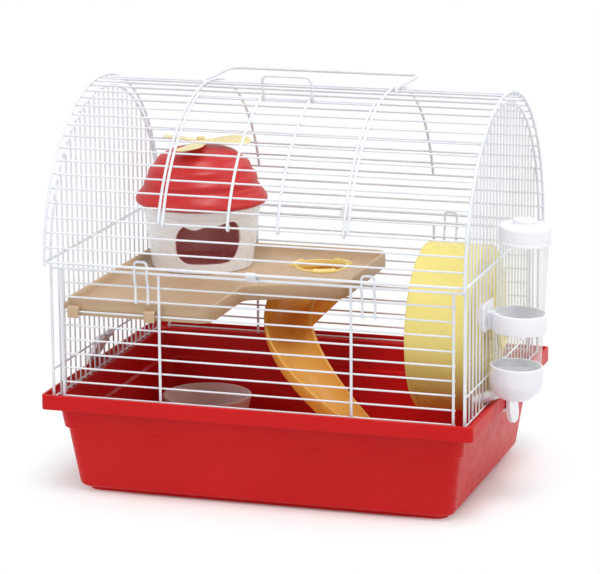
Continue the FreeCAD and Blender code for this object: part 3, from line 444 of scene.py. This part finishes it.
# The bed falls by a cubic of the way along; width and distance from the axis follow smooth steps. A plate
# closes the upper end.
def buildChute():
    part = np.linspace(0, 1, chute["rows"])
    angle = np.radians(chute["start"] + part * chute["turn"])
    pull = np.clip((chute["neckPlace"] - part) / (chute["neckPlace"] - chute["inletEnd"]), 0, 1)
    pull = pull * pull * (3 - 2 * pull)
    widened = np.clip((part - chute["neckPlace"]) / (1 - chute["neckPlace"]), 0, 1)
    inside = chute["neck"] + pull * (chute["inlet"] - chute["neck"])
    inside = inside + widened * (chute["mouth"] - chute["neck"])
    centre = np.polynomial.polynomial.polyval(part, chute["bed"]) + inside
    lip = chute["highLip"] + part * (chute["lowLip"] - chute["highLip"])
    rise = np.minimum(lip, chute["under"] - centre)
    outerOut, outerUp = troughSide(inside + chute["wall"], rise)
    innerOut, innerUp = troughSide(inside, rise)
    topOut = (outerOut[:, -1:] + innerOut[:, -1:]) / 2
    topUp = rise[:, None]
    out = np.hstack([-outerOut[:, :0:-1], outerOut, topOut, innerOut[:, :0:-1], -innerOut, -topOut])
    up = np.hstack([outerUp[:, :0:-1], outerUp, topUp, innerUp[:, :0:-1], innerUp, topUp])
    away = chute["radius"] + pull[:, None] * chute["offset"] + out
    trough = capped(spiralPoints(away, angle[:, None], centre[:, None] + up))
    reach = chute["radius"] + chute["offset"] + np.hstack([-outerOut[0, :0:-1], outerOut[0]])
    level = np.hstack([outerUp[0, :0:-1], outerUp[0]]) + centre[0]
    plate = capped(np.stack([spiralPoints(reach, angle[0], level, step) for step in (0.0, chute["wall"])]))
    build("chuteTrough", [trough, plate, inletWall()], "amber_plastic", "cage", "chute")


# Collar: a ring in the platform's hole, with three tabs that hold it on the floor.
collar = {"ring": [(20.5, 147.3), (22.45, 147.3), (22.45, 153.5), (20.5, 153.5)],
          "ringBends": [0.4, 0.3, 0.6, 0.6], "bendSteps": 3, "steps": 64,
          "tab": [(21.0, 152.35), (26.6, 152.35), (26.6, 154.2), (21.0, 155.0)],
          "tabBends": [0, 0.3, 0.9, 0.6], "tabs": (150.0, 270.0, 30.0), "tabTurn": 46.0, "tabSteps": 14}


# The ring is turned all round; each tab is its own section turned through part of a circle.
def buildCollar():
    ring = turned(rounded(collar["ring"], collar["ringBends"], collar["bendSteps"]), collar["steps"])
    pieces = [placed(ring, (*platform["hole"], 0))]
    line = rounded(collar["tab"], collar["tabBends"], collar["bendSteps"])
    for start in collar["tabs"]:
        angle = np.radians(start + np.linspace(0, collar["tabTurn"], collar["tabSteps"]))[:, None]
        points = np.stack([line[:, 0] * np.cos(angle), line[:, 0] * np.sin(angle),
                           np.broadcast_to(line[:, 1], (collar["tabSteps"], len(line)))], -1)
        pieces.append(placed(capped(points), (*platform["hole"], 0)))
    # The collar takes the painted lit copy of the amber finish in place of its amber slot.
    build("chuteCollar", pieces, "amber_plastic", "cage", "chute_collar", look="collar_lit_amber")


# House cup: a cone with a doorway. Round the doorway a patch runs from its outline to a rectangle on the
# wall.
house = {"place": (-104.0, 57.0), "floor": 152.3, "height": 58.0, "base": 41.5, "top": 49.5, "wall": 2.2,
         "foot": 1.2, "footSoft": 0.35, "doorTurn": 25.0, "sill": 8.4,
         "doorway": [(-14.0, 0.0), (0.0, 0.0), (15.6, 0.3), (21.2, 2.4), (24.8, 6.0), (27.0, 11.3),
                     (28.0, 16.5), (28.2, 21.5), (27.4, 27.0), (25.8, 32.0), (23.0, 34.8), (19.0, 35.5),
                     (13.4, 34.3), (8.0, 33.1), (1.5, 32.5), (-3.3, 32.2), (-6.6, 30.8), (-11.3, 29.8),
                     (-16.2, 31.0), (-19.6, 32.4), (-23.6, 28.4), (-25.6, 23.6), (-26.3, 18.0),
                     (-26.2, 12.0), (-24.7, 6.8), (-21.6, 2.8), (-18.2, 0.8)],
         "patch": (3.0, 46.4), "patchHalf": 0.78, "patchPower": 1.4, "rings": 7, "lineSteps": 8,
         "across": 65, "up": 45, "round": 121, "belowRows": 4, "aboveRows": 34, "jambRows": 4,
         "band": 46.4, "bandOut": 1.1, "bandEdge": 1.3, "bandTop": 53.5, "bandFade": 0.8,
         "longWave": (0.9, 3, -0.4), "shortWave": (0.5, 5, 1.2),
         # The last three values set where the painted rose bounce light begins inside the wall.
         "paintedBounceDepth": 0.7, "paintedBounceFade": 0.8, "paintedBounceFrom": 1.3}


# The cone widens evenly with height.
def houseRadius(level):
    return house["base"] + (house["top"] - house["base"]) * level / house["height"]


# Doorway outline in (across, up): a closed curve through its points, each stretch a cubic that leaves and
# meets its points along the line between their neighbours.
def doorwayLine():
    second = np.array(house["doorway"]) + (0.0, house["sill"])
    first, third, fourth = np.roll(second, 1, 0), np.roll(second, -1, 0), np.roll(second, -2, 0)
    t = np.linspace(0, 1, house["lineSteps"], endpoint=False)[:, None, None]
    line = 0.5 * (2 * second + (third - first) * t + (2 * first - 5 * second + 4 * third - fourth) * t ** 2
                  + (3 * second - first - 3 * third + fourth) * t ** 3)
    return line.transpose(1, 0, 2).reshape(-1, 2)


# Boundary of the patch, point by point, and the doorway's points in the same directions from its middle.
def doorwayPatch():
    low, high = house["patch"]
    wide = house["patchHalf"]
    span = np.linspace(-wide, wide, house["across"])
    rise = np.linspace(low, high, house["up"])
    border = np.concatenate([np.column_stack([span[:-1], np.full(len(span) - 1, low)]),
                             np.column_stack([np.full(len(rise) - 1, wide), rise[:-1]]),
                             np.column_stack([span[:0:-1], np.full(len(span) - 1, high)]),
                             np.column_stack([np.full(len(rise) - 1, -wide), rise[:0:-1]])])
    line = doorwayLine()
    door = np.column_stack([np.arcsin(line[:, 0] / houseRadius(line[:, 1])), line[:, 1]])
    middle = np.array([0.0, (low + high) / 2])
    scale = np.array([wide, (high - low) / 2])
    flat = (door - middle) / scale
    turn = np.arctan2(flat[:, 1], flat[:, 0])
    order = np.argsort(turn)
    wanted = (border - middle) / scale
    aim = np.arctan2(wanted[:, 1], wanted[:, 0])
    reach = np.interp(aim, turn[order], np.hypot(flat[:, 0], flat[:, 1])[order], period=2 * math.pi)
    edge = np.column_stack([reach * np.cos(aim), reach * np.sin(aim)]) * scale + middle
    share = np.linspace(0, 1, house["rings"])[:, None, None] ** house["patchPower"]
    return edge * (1 - share) + border * share, span, rise


# Cone points from (angle from the doorway, height over the floor), drawn in from the outside by some depth.
# Under the brim a band stands out, with a wavy lower edge.
def onCup(turn, level, depth):
    radius = houseRadius(level) - depth
    tall, count, shift = house["longWave"]
    edge = house["band"] - tall * np.cos(turn * count + shift)
    tall, count, shift = house["shortWave"]
    edge = edge + tall * np.sin(turn * count + shift)
    band = np.clip((level - edge) / house["bandEdge"], 0, 1)
    band = band * np.clip((house["bandTop"] - level) / house["bandFade"], 0, 1)
    radius = radius + (house["bandOut"] * band * band * (3 - 2 * band) if depth == 0 else 0)
    angle = turn - math.pi / 2 + math.radians(house["doorTurn"])
    return np.stack([house["place"][0] + radius * np.cos(angle), house["place"][1] + radius * np.sin(angle),
                     house["floor"] + level], -1)


# Share of each point that takes the painted rose bounce light inside the house: one where it lies deeper
# than half the wall.
def markPaintedBounce(mesh):
    place = np.empty(len(mesh.vertices) * 3)
    mesh.vertices.foreach_get("co", place)
    x, y, z = place.reshape(-1, 3).T / mm
    level = z - house["floor"]
    deep = houseRadius(level) - np.hypot(x - house["place"][0], y - house["place"][1])
    inside = np.clip((deep - house["paintedBounceDepth"]) / house["paintedBounceFade"], 0, 1) * (level > house["paintedBounceFrom"])
    mesh.attributes.new("inside", "FLOAT", "POINT").data.foreach_set("value", inside)


# Outer and inner wall as grids below, above and beside the patch, joined by the jamb, the top and the foot.
def buildHouse():
    patch, span, rise = doorwayPatch()
    around = np.concatenate([span, np.linspace(span[-1], 2 * math.pi + span[0], house["round"])[1:-1]])
    cols = len(around)
    sideTurn = np.concatenate([around[len(span) - 1:], [2 * math.pi + span[0]]])
    pieces = []
    for depth in (0, house["wall"]):
        below = np.linspace(depth or house["foot"], rise[0], house["belowRows"])
        above = np.linspace(rise[-1], house["height"], house["aboveRows"])
        for levels in (below, above):
            pieces.append(grid(onCup(*np.meshgrid(around, levels), depth)))
        pieces.append(grid(onCup(*np.meshgrid(sideTurn, rise), depth), closeCols=False))
        pieces.append(grid(onCup(patch[..., 0], patch[..., 1], depth)))
    jamb = [onCup(patch[0, :, 0], patch[0, :, 1], depth)
            for depth in np.linspace(0, house["wall"], house["jambRows"])]
    pieces.append(grid(np.stack(jamb)))
    top = [onCup(around, np.full(cols, house["height"]), depth) for depth in (0, house["wall"])]
    pieces.append(grid(np.stack(top)))
    footLine = ((house["foot"], 0), (house["footSoft"], house["footSoft"]), (0.0, house["foot"]))
    foot = [onCup(around, np.full(cols, level), depth) for level, depth in footLine]
    verts, faces = grid(np.stack(foot))
    pieces.append((verts, faces + [list(range(2 * cols, 3 * cols))]))
    inner = onCup(around, np.full(cols, house["wall"]), house["wall"])
    pieces.append((inner, [list(range(cols))]))
    markPaintedBounce(build("houseCup", pieces, "house_plastic", "cage", "house_body").data)


# House roof: a fat round brim, then a soft swirl. The outline is drawn in where one turn of the swirl
# meets the next, and the turns climb with the angle.
roof = {"floor": 206.3, "pitch": 10.6, "depth": 1.1, "sag": 0.35, "steps": 160, "domeRows": 110,
        "fadeLow": (11.5, 3.0), "fadeHigh": (44.4, 4.0),
        "brim": [(49.9, 0.0), (52.3, 0.0), (53.8, 0.4), (54.6, 1.5), (54.7, 3.0), (54.1, 4.8),
                 (52.9, 6.8), (51.3, 8.8), (50.0, 10.2)],
        "dome": [(49.1, 11.2), (48.6, 12.6), (48.1, 14.5), (47.2, 18.4), (45.5, 22.6), (43.9, 26.0),
                 (42.0, 29.3), (39.6, 32.6), (36.6, 35.8), (33.5, 38.6), (29.4, 41.2), (24.0, 43.2),
                 (17.0, 44.5), (7.0, 45.2)],
        "boss": [(4.8, 45.3), (4.5, 45.5), (4.5, 46.2), (4.2, 46.5), (2.2, 46.5), (2.2, 44.6), (0.0, 44.6)],
        "inner": [(0.0, 40.6), (15.0, 40.2), (22.0, 39.2), (27.5, 37.2), (32.5, 33.4), (36.6, 29.4),
                  (39.6, 25.0), (41.8, 20.0), (43.2, 14.5), (44.0, 9.5), (44.6, 4.0), (49.9, 4.0),
                  (49.9, 0.0)]}


# (radius, height) pairs turned about the middle. On the dome a point goes in by the depth times a cosine
# of its place between two turns of the swirl, fading out at the dome's foot and top.
def buildHouseRoof():
    dome = np.array(roof["dome"])
    fine = np.linspace(0, len(dome) - 1, roof["domeRows"])
    dome = np.column_stack([np.interp(fine, np.arange(len(dome)), dome[:, 0]),
                            np.interp(fine, np.arange(len(dome)), dome[:, 1])])
    profile = np.concatenate([roof["brim"], dome, roof["boss"], roof["inner"]])
    angle = np.linspace(0, 2 * math.pi, roof["steps"], endpoint=False)
    radius = np.repeat(profile[:, :1], roof["steps"], 1)
    level = np.repeat(profile[:, 1:], roof["steps"], 1)
    swirl = level / roof["pitch"] - (angle - math.pi) / (2 * math.pi)
    swell = 0.5 - 0.5 * np.cos(2 * math.pi * swirl)
    rows = np.arange(len(profile))[:, None]
    first = len(roof["brim"])
    onDome = (rows >= first) & (rows < first + len(dome))
    (low, rise), (high, fall) = roof["fadeLow"], roof["fadeHigh"]
    fade = np.clip((level - low) / rise, 0, 1) * np.clip((high - level) / fall, 0, 1)
    depth = np.where(onDome, roof["depth"] * fade * (1 - swell), 0)
    radius = radius - depth
    points = np.stack([radius * np.cos(angle), radius * np.sin(angle), level - depth * roof["sag"]], -1)
    shell = placed(grid(points), (*house["place"], roof["floor"]))
    build("houseRoof", [shell], "roof_plastic", "house_top", "house_roof")


# Propeller: petals with a lens section, wide near their round ends, tilted about their own length.
propeller = {"floor": 253.1, "hub": 5.5, "hubHeight": 4.5, "bore": 2.1, "hubBends": [0.2, 0.5, 1.2, 0.3],
             "hubSteps": 48, "bendSteps": 4, "start": 2.6, "length": 41.5, "root": 4.0, "tip": 13.4,
             "thick": 1.05, "rim": 0.35, "lens": 0.7, "thinFrom": 1.2, "roundFrom": 0.62, "roundPower": 2.2,
             "pitch": 9.0, "turns": (30.0, 150.0, 270.0), "along": 40, "about": 24}


# Half width grows as a sine of the way out and closes as a round end; the section is a flattened circle.
def buildPropeller():
    p = propeller
    hub = rounded([(p["bore"], 0), (p["hub"], 0), (p["hub"], p["hubHeight"]), (p["bore"], p["hubHeight"])],
                  p["hubBends"], p["bendSteps"])
    pieces = [placed(turned(hub, p["hubSteps"]), (*house["place"], p["floor"]))]
    share = 1 - np.linspace(1, 0, p["along"]) ** 2
    closing = np.maximum(share - p["roundFrom"], 0) / (1 - p["roundFrom"])
    roundEnd = np.sqrt(np.clip(1 - closing ** p["roundPower"], 0, 1))
    half = (p["root"] + (p["tip"] - p["root"]) * np.sin(share * math.pi / 2)) * roundEnd
    turn = np.linspace(0, 2 * math.pi, p["about"], endpoint=False)
    across = half[:, None] * np.cos(turn)
    rim = p["rim"] + (1 - p["rim"]) * np.sqrt(np.clip(roundEnd, 0, 1))[:, None]
    up = p["thick"] * rim * np.sign(np.sin(turn)) * np.abs(np.sin(turn)) ** p["lens"]
    up = up * np.minimum(1, half[:, None] / p["thinFrom"])
    along = np.broadcast_to((p["start"] + share * (p["length"] - p["start"]))[:, None], across.shape)
    tilt = math.radians(p["pitch"])
    blade = capped(np.stack([along, across * math.cos(tilt) - up * math.sin(tilt),
                             across * math.sin(tilt) + up * math.cos(tilt)], -1))
    for degrees in p["turns"]:
        c, s = math.cos(math.radians(degrees)), math.sin(math.radians(degrees))
        place = (*house["place"], p["floor"] + p["hubHeight"] / 2)
        pieces.append(placed(blade, place, ((c, s, 0), (-s, c, 0), (0, 0, 1))))
    build("propellerBlades", pieces, "cream_plastic", "spinner", "propeller")


# Wheel: (radius, width) pairs turned about the axle. Fine rungs stand on the running face and rings on the
# closed side.
wheel = {"edge": 103.55, "axle": 128.0, "steps": 576, "bendSteps": 4,
         "line": [(3.1, 54.0), (3.1, 41.1), (9.0, 41.1), (9.0, 48.1), (64.6, 48.1), (64.6, 4.6),
                  (62.0, 3.2), (62.0, 0.0), (67.0, 0.0), (67.0, 4.4), (66.5, 5.2), (66.5, 49.5),
                  (65.8, 50.5), (52.0, 50.5), (51.4, 50.0), (49.6, 50.0), (49.0, 50.5), (30.0, 50.5),
                  (29.4, 50.0), (27.6, 50.0), (27.0, 50.5), (9.0, 50.5), (9.0, 54.0)],
         "bends": [0.3, 0.3, 0.8, 2.0, 3.0, 1.2, 0.8, 1.2, 1.6, 0.3, 0.3, 0.5, 0.5, 0.3, 0.2, 0.2, 0.3,
                   0.3, 0.2, 0.2, 0.3, 0.8, 0.6],
         "face": 64.6, "faceSpan": (4.0, 45.5), "faceNear": 0.01, "rungs": 72, "rungHeight": 0.7}


# The radius at each angle is the line's own, less a squared cosine for each rung on the running face.
def buildWheel():
    profile = rounded(wheel["line"], wheel["bends"], wheel["bendSteps"])
    angle = np.linspace(0, 2 * math.pi, wheel["steps"], endpoint=False)
    low, high = wheel["faceSpan"]
    inside = np.abs(profile[:, 0] - wheel["face"]) < wheel["faceNear"]
    inside = inside & (profile[:, 1] > low) & (profile[:, 1] < high)
    rung = np.clip(np.cos(angle * wheel["rungs"]), 0, 1) ** 2 * wheel["rungHeight"]
    radius = profile[:, :1] - np.where(inside[:, None], rung, 0)
    points = np.stack([np.repeat(profile[:, 1:], wheel["steps"], 1), radius * np.cos(angle),
                       radius * np.sin(angle)], -1)
    drum = placed(grid(points, True), (wheel["edge"], 0, wheel["axle"]))
    build("wheelDrum", [drum], "wheel_plastic", "wheel", "wheel_drum")


# Drinking bottle: tube, cap and cup as (radius, height) pairs turned about an axis that leans out by a few
# degrees. The cap's upper edge is cut into a knurl.
bottle = {"place": (192.25, -53.0), "pivot": 148.5, "lean": 3.0, "foot": 108.0, "steps": 96,
          "tube": [(0.0, 0.0), (19.0, 0.0), (19.0, 111.0), (0.0, 111.0)],
          "tubeBends": [0, 0.6, 0.6, 0], "tubeBendSteps": 3,
          "cup": [(0, -22.0), (20.8, -22.0), (20.8, 3.4), (20.8, 6.0), (19.0, 6.0), (19.0, -20.2),
                  (0, -20.2)],
          "cupBends": [0, 16.0, 0, 0.8, 0.6, 14.2, 0], "cupBendSteps": 9,
          "cap": [(19.1, 102.5), (20.6, 102.5), (20.6, 104.2), (20.3, 104.8), (20.3, 117.5), (10.0, 117.5),
                  (9.6, 121.5), (0, 121.5)],
          "capBends": [0.2, 0.4, 0.3, 0.3, 3.0, 1.4, 1.4, 0], "capBendSteps": 6,
          "capInside": [(0, 116.0), (19.1, 116.0), (19.1, 102.5)], "capSteps": 288,
          "knurl": (118.6, 120.3), "knurlDepth": 0.45, "knurls": 36}


# Points round the upright axis, leaned about the pivot and set in their place.
def leaning(piece):
    c, s = math.cos(math.radians(bottle["lean"])), math.sin(math.radians(bottle["lean"]))
    rise = bottle["foot"] - bottle["pivot"]
    axes = ((c, 0, -s), (0, 1, 0), (s, 0, c))
    return placed(placed(piece, (0, 0, rise)), (*bottle["place"], bottle["pivot"]), axes)


# Tube and cup are turned all round; the cap's radius steps in and out with the sign of a cosine along
# the knurl.
def buildBottle():
    tube = rounded(bottle["tube"], bottle["tubeBends"], bottle["tubeBendSteps"])
    tube = leaning(turned(tube, bottle["steps"], False))
    build("bottleTube", [tube], "clear_plastic", "cage", "bottle_tube")
    cup = rounded(bottle["cup"], bottle["cupBends"], bottle["cupBendSteps"])
    cup = leaning(turned(cup, bottle["steps"], False))
    build("bottleCup", [cup], "white_plastic", "cage", "bottle_cup")
    outside = rounded(bottle["cap"], bottle["capBends"], bottle["capBendSteps"])
    profile = np.concatenate([outside, bottle["capInside"]])
    angle = np.linspace(0, 2 * math.pi, bottle["capSteps"], endpoint=False)
    low, high = bottle["knurl"]
    knurl = (profile[:, 1] > low) & (profile[:, 1] < high)
    cut = bottle["knurlDepth"] * (np.cos(angle * bottle["knurls"]) > 0)
    radius = profile[:, :1] - np.where(knurl[:, None], cut, 0)
    points = np.stack([radius * np.cos(angle), radius * np.sin(angle),
                       np.repeat(profile[:, 1:], bottle["capSteps"], 1)], -1)
    build("bottleCap", [leaning(grid(points))], "white_plastic", "cap", "bottle_cap")


# Holder: a ring round the tube, and blocks as (sides, bend, low X, high X): a plate outside the bars, a
# neck to the ring, a bridge between the bars and a backing inside them.
holder = {"ring": [(19.05, 33.0), (21.2, 33.0), (21.2, 48.0), (19.05, 48.0)],
          "ringBends": [0.4, 0.9, 0.9, 0.4], "bendSteps": 4,
          "blocks": [((-68, 141, -38, 163), 3, 165.65, 168.25),
                     ((-57, 141.5, -49, 155.5), 1, 167.8, 172.6),
                     ((-56, 143.5, -50, 160.5), 1, 162.4, 167.0),
                     ((-61.5, 143.5, -44.5, 160.5), 3, 161.55, 164.15)]}


# The ring is turned and leans with the tube; each block is a rectangle carried straight along X.
def buildHolder():
    ring = rounded(holder["ring"], holder["ringBends"], holder["bendSteps"])
    pieces = [leaning(turned(ring, bottle["steps"]))]
    for sides, bend, low, high in holder["blocks"]:
        pieces.append(placed(prism(rectangle(*sides), [bend] * 4, low, high), (0, 0, 0), alongX))
    build("bottleHolder", pieces, "white_plastic", "cage", "bottle_holder")


# Bowl: (radius, height) pairs turned about its middle, with a rolled rim and a recess under it.
bowl = {"place": (-104.0, 64.0, 5.5), "steps": 96,
        "line": [(0, 0.8), (25.0, 0.8), (26.5, 0.0), (30.0, 0.0), (36.4, 29.0), (37.5, 31.4), (37.5, 33.0),
                 (35.4, 33.0), (28.4, 2.4), (0, 2.4)],
        "bends": [0, 0.4, 0.6, 5.0, 1.0, 0.7, 0.9, 0.9, 4.6, 0]}


def buildBowl():
    line = rounded(bowl["line"], bowl["bends"])
    dish = placed(turned(line, bowl["steps"], False), bowl["place"])
    build("foodBowl", [dish], "bowl_plastic", "bowl", "food_bowl")


buildTray()
print("tray built")
buildPlatform()
buildChute()
buildCollar()
print("platform and chute built")
buildHouse()
buildHouseRoof()
buildPropeller()
print("house built")
buildWheel()
print("wheel built")
buildBottle()
buildHolder()
buildBowl()
print("bottle and bowl built")


# Camera where the photograph was taken from: its axes are right, up and back.
camera = {"lens": 181.33, "sensor": 36.0, "clipEnd": 20.0, "place": (0.709674, -2.259841, 0.703843),
          "right": (0.95434465, 0.29863369, -0.00664831), "up": (-0.0616086, 0.21856362, 0.97387593),
          "back": (0.29228524, -0.92900369, 0.22698343)}


def addCamera():
    data = bpy.data.cameras.new("photoCamera")
    data.lens = camera["lens"]
    data.sensor_width = camera["sensor"]
    data.clip_end = camera["clipEnd"]
    view = bpy.data.objects.new("photoCamera", data)
    axes = Matrix((camera["right"], camera["up"], camera["back"])).transposed().to_4x4()
    view.matrix_world = Matrix.Translation(camera["place"]) @ axes
    bpy.context.scene.collection.objects.link(view)
    bpy.context.scene.camera = view


studio = {"floorHalf": 6.0, "floorDrop": 0.0003, "floor": "#FAFAFA", "floorShade": "#F4F4F5",
          "floorRough": 0.9, "paperScale": 3.0, "paperDetail": 2.0, "shadeBox": (0.09, 0.045, 0.0),
          "shadeFade": (0.055, 0.13), "worldLight": 0.40, "aim": (0.0, 0.0, 0.15),
          "lamps": {"keyLamp": {"place": (0.5, -0.9, 2.7), "size": 1.1, "watts": 44.0},
                    "sideLamp": {"place": (2.2, -0.5, 1.2), "size": 1.4, "watts": 13.0},
                    "fillLamp": {"place": (-1.7, -2.0, 1.3), "size": 1.6, "watts": 15.0},
                    "backLamp": {"place": (0.9, 1.6, 2.2), "size": 1.4, "watts": 10.0}}}


# White paper floor; with the distance from a box round the object's foot it turns into plain white, and
# near it the floor keeps the shadow.
def addFloor():
    half = studio["floorHalf"]
    corners = np.array([(-half, -half), (half, -half), (half, half), (-half, half)])
    verts = np.column_stack([corners, np.full(4, -studio["floorDrop"])])
    mesh = bpy.data.meshes.new("floor")
    mesh.from_pydata(verts.tolist(), [], [(0, 1, 2, 3)])
    floor = bpy.data.objects.new("floor", mesh)
    bpy.context.scene.collection.objects.link(floor)
    material = bpy.data.materials.new("floorPaper")
    material.use_nodes = True
    tree = material.node_tree
    paper = tree.nodes["Principled BSDF"]
    coords = tree.nodes.new("ShaderNodeTexCoord").outputs["Object"]
    fibres = noiseField(tree, coords, studio["paperScale"], studio["paperDetail"])
    shade = mixedColour(tree, fibres, linear(studio["floor"]), linear(studio["floorShade"]))
    tree.links.new(shade, paper.inputs["Base Color"])
    paper.inputs["Roughness"].default_value = studio["floorRough"]
    away = coords
    for operation, size in (("ABSOLUTE", None), ("SUBTRACT", studio["shadeBox"]),
                            ("MAXIMUM", (0.0, 0.0, 0.0)), ("LENGTH", None)):
        step = tree.nodes.new("ShaderNodeVectorMath")
        step.operation = operation
        tree.links.new(away, step.inputs[0])
        if size:
            step.inputs[1].default_value = size
        away = step.outputs["Value" if operation == "LENGTH" else "Vector"]
    white = addNode(tree, "ShaderNodeEmission", Color=(1.0, 1.0, 1.0, 1.0), Strength=1.0)
    mix = tree.nodes.new("ShaderNodeMixShader")
    tree.links.new(ranged(tree, away, 0.0, 1.0, *studio["shadeFade"]), mix.inputs[0])
    tree.links.new(paper.outputs[0], mix.inputs[1])
    tree.links.new(white.outputs[0], mix.inputs[2])
    tree.links.new(mix.outputs[0], tree.nodes["Material Output"].inputs["Surface"])
    mesh.materials.append(material)


# White for the eye, in mirrors and through clear plastic, and a dimmer white as light.
def addWorld():
    world = bpy.data.worlds.new("studioWorld")
    world.use_nodes = True
    bpy.context.scene.world = world
    tree = world.node_tree
    rays = tree.nodes.new("ShaderNodeLightPath")
    seen = rays.outputs["Is Camera Ray"]
    for ray in ("Is Glossy Ray", "Is Transmission Ray"):
        either = tree.nodes.new("ShaderNodeMath")
        either.operation = "MAXIMUM"
        tree.links.new(seen, either.inputs[0])
        tree.links.new(rays.outputs[ray], either.inputs[1])
        seen = either.outputs[0]
    background = tree.nodes["Background"]
    background.inputs["Color"].default_value = (1.0, 1.0, 1.0, 1.0)
    tree.links.new(ranged(tree, seen, studio["worldLight"], 1.0, 0.0, 1.0), background.inputs["Strength"])


# Square lamps that look at one point in the middle of the object.
def addLamps():
    for name, lamp in studio["lamps"].items():
        data = bpy.data.lights.new(name, "AREA")
        data.size = lamp["size"]
        data.energy = lamp["watts"]
        light = bpy.data.objects.new(name, data)
        back = np.array(lamp["place"]) - np.array(studio["aim"])
        back = back / np.linalg.norm(back)
        right = np.cross((0.0, 0.0, 1.0), back)
        right = right / np.linalg.norm(right)
        axes = Matrix((right, np.cross(back, right), back)).transposed().to_4x4()
        light.matrix_world = Matrix.Translation(lamp["place"]) @ axes
        bpy.context.scene.collection.objects.link(light)


addCamera()
addFloor()
addWorld()
addLamps()
bpy.context.scene.view_settings.view_transform = "Standard"
print("studio ready")
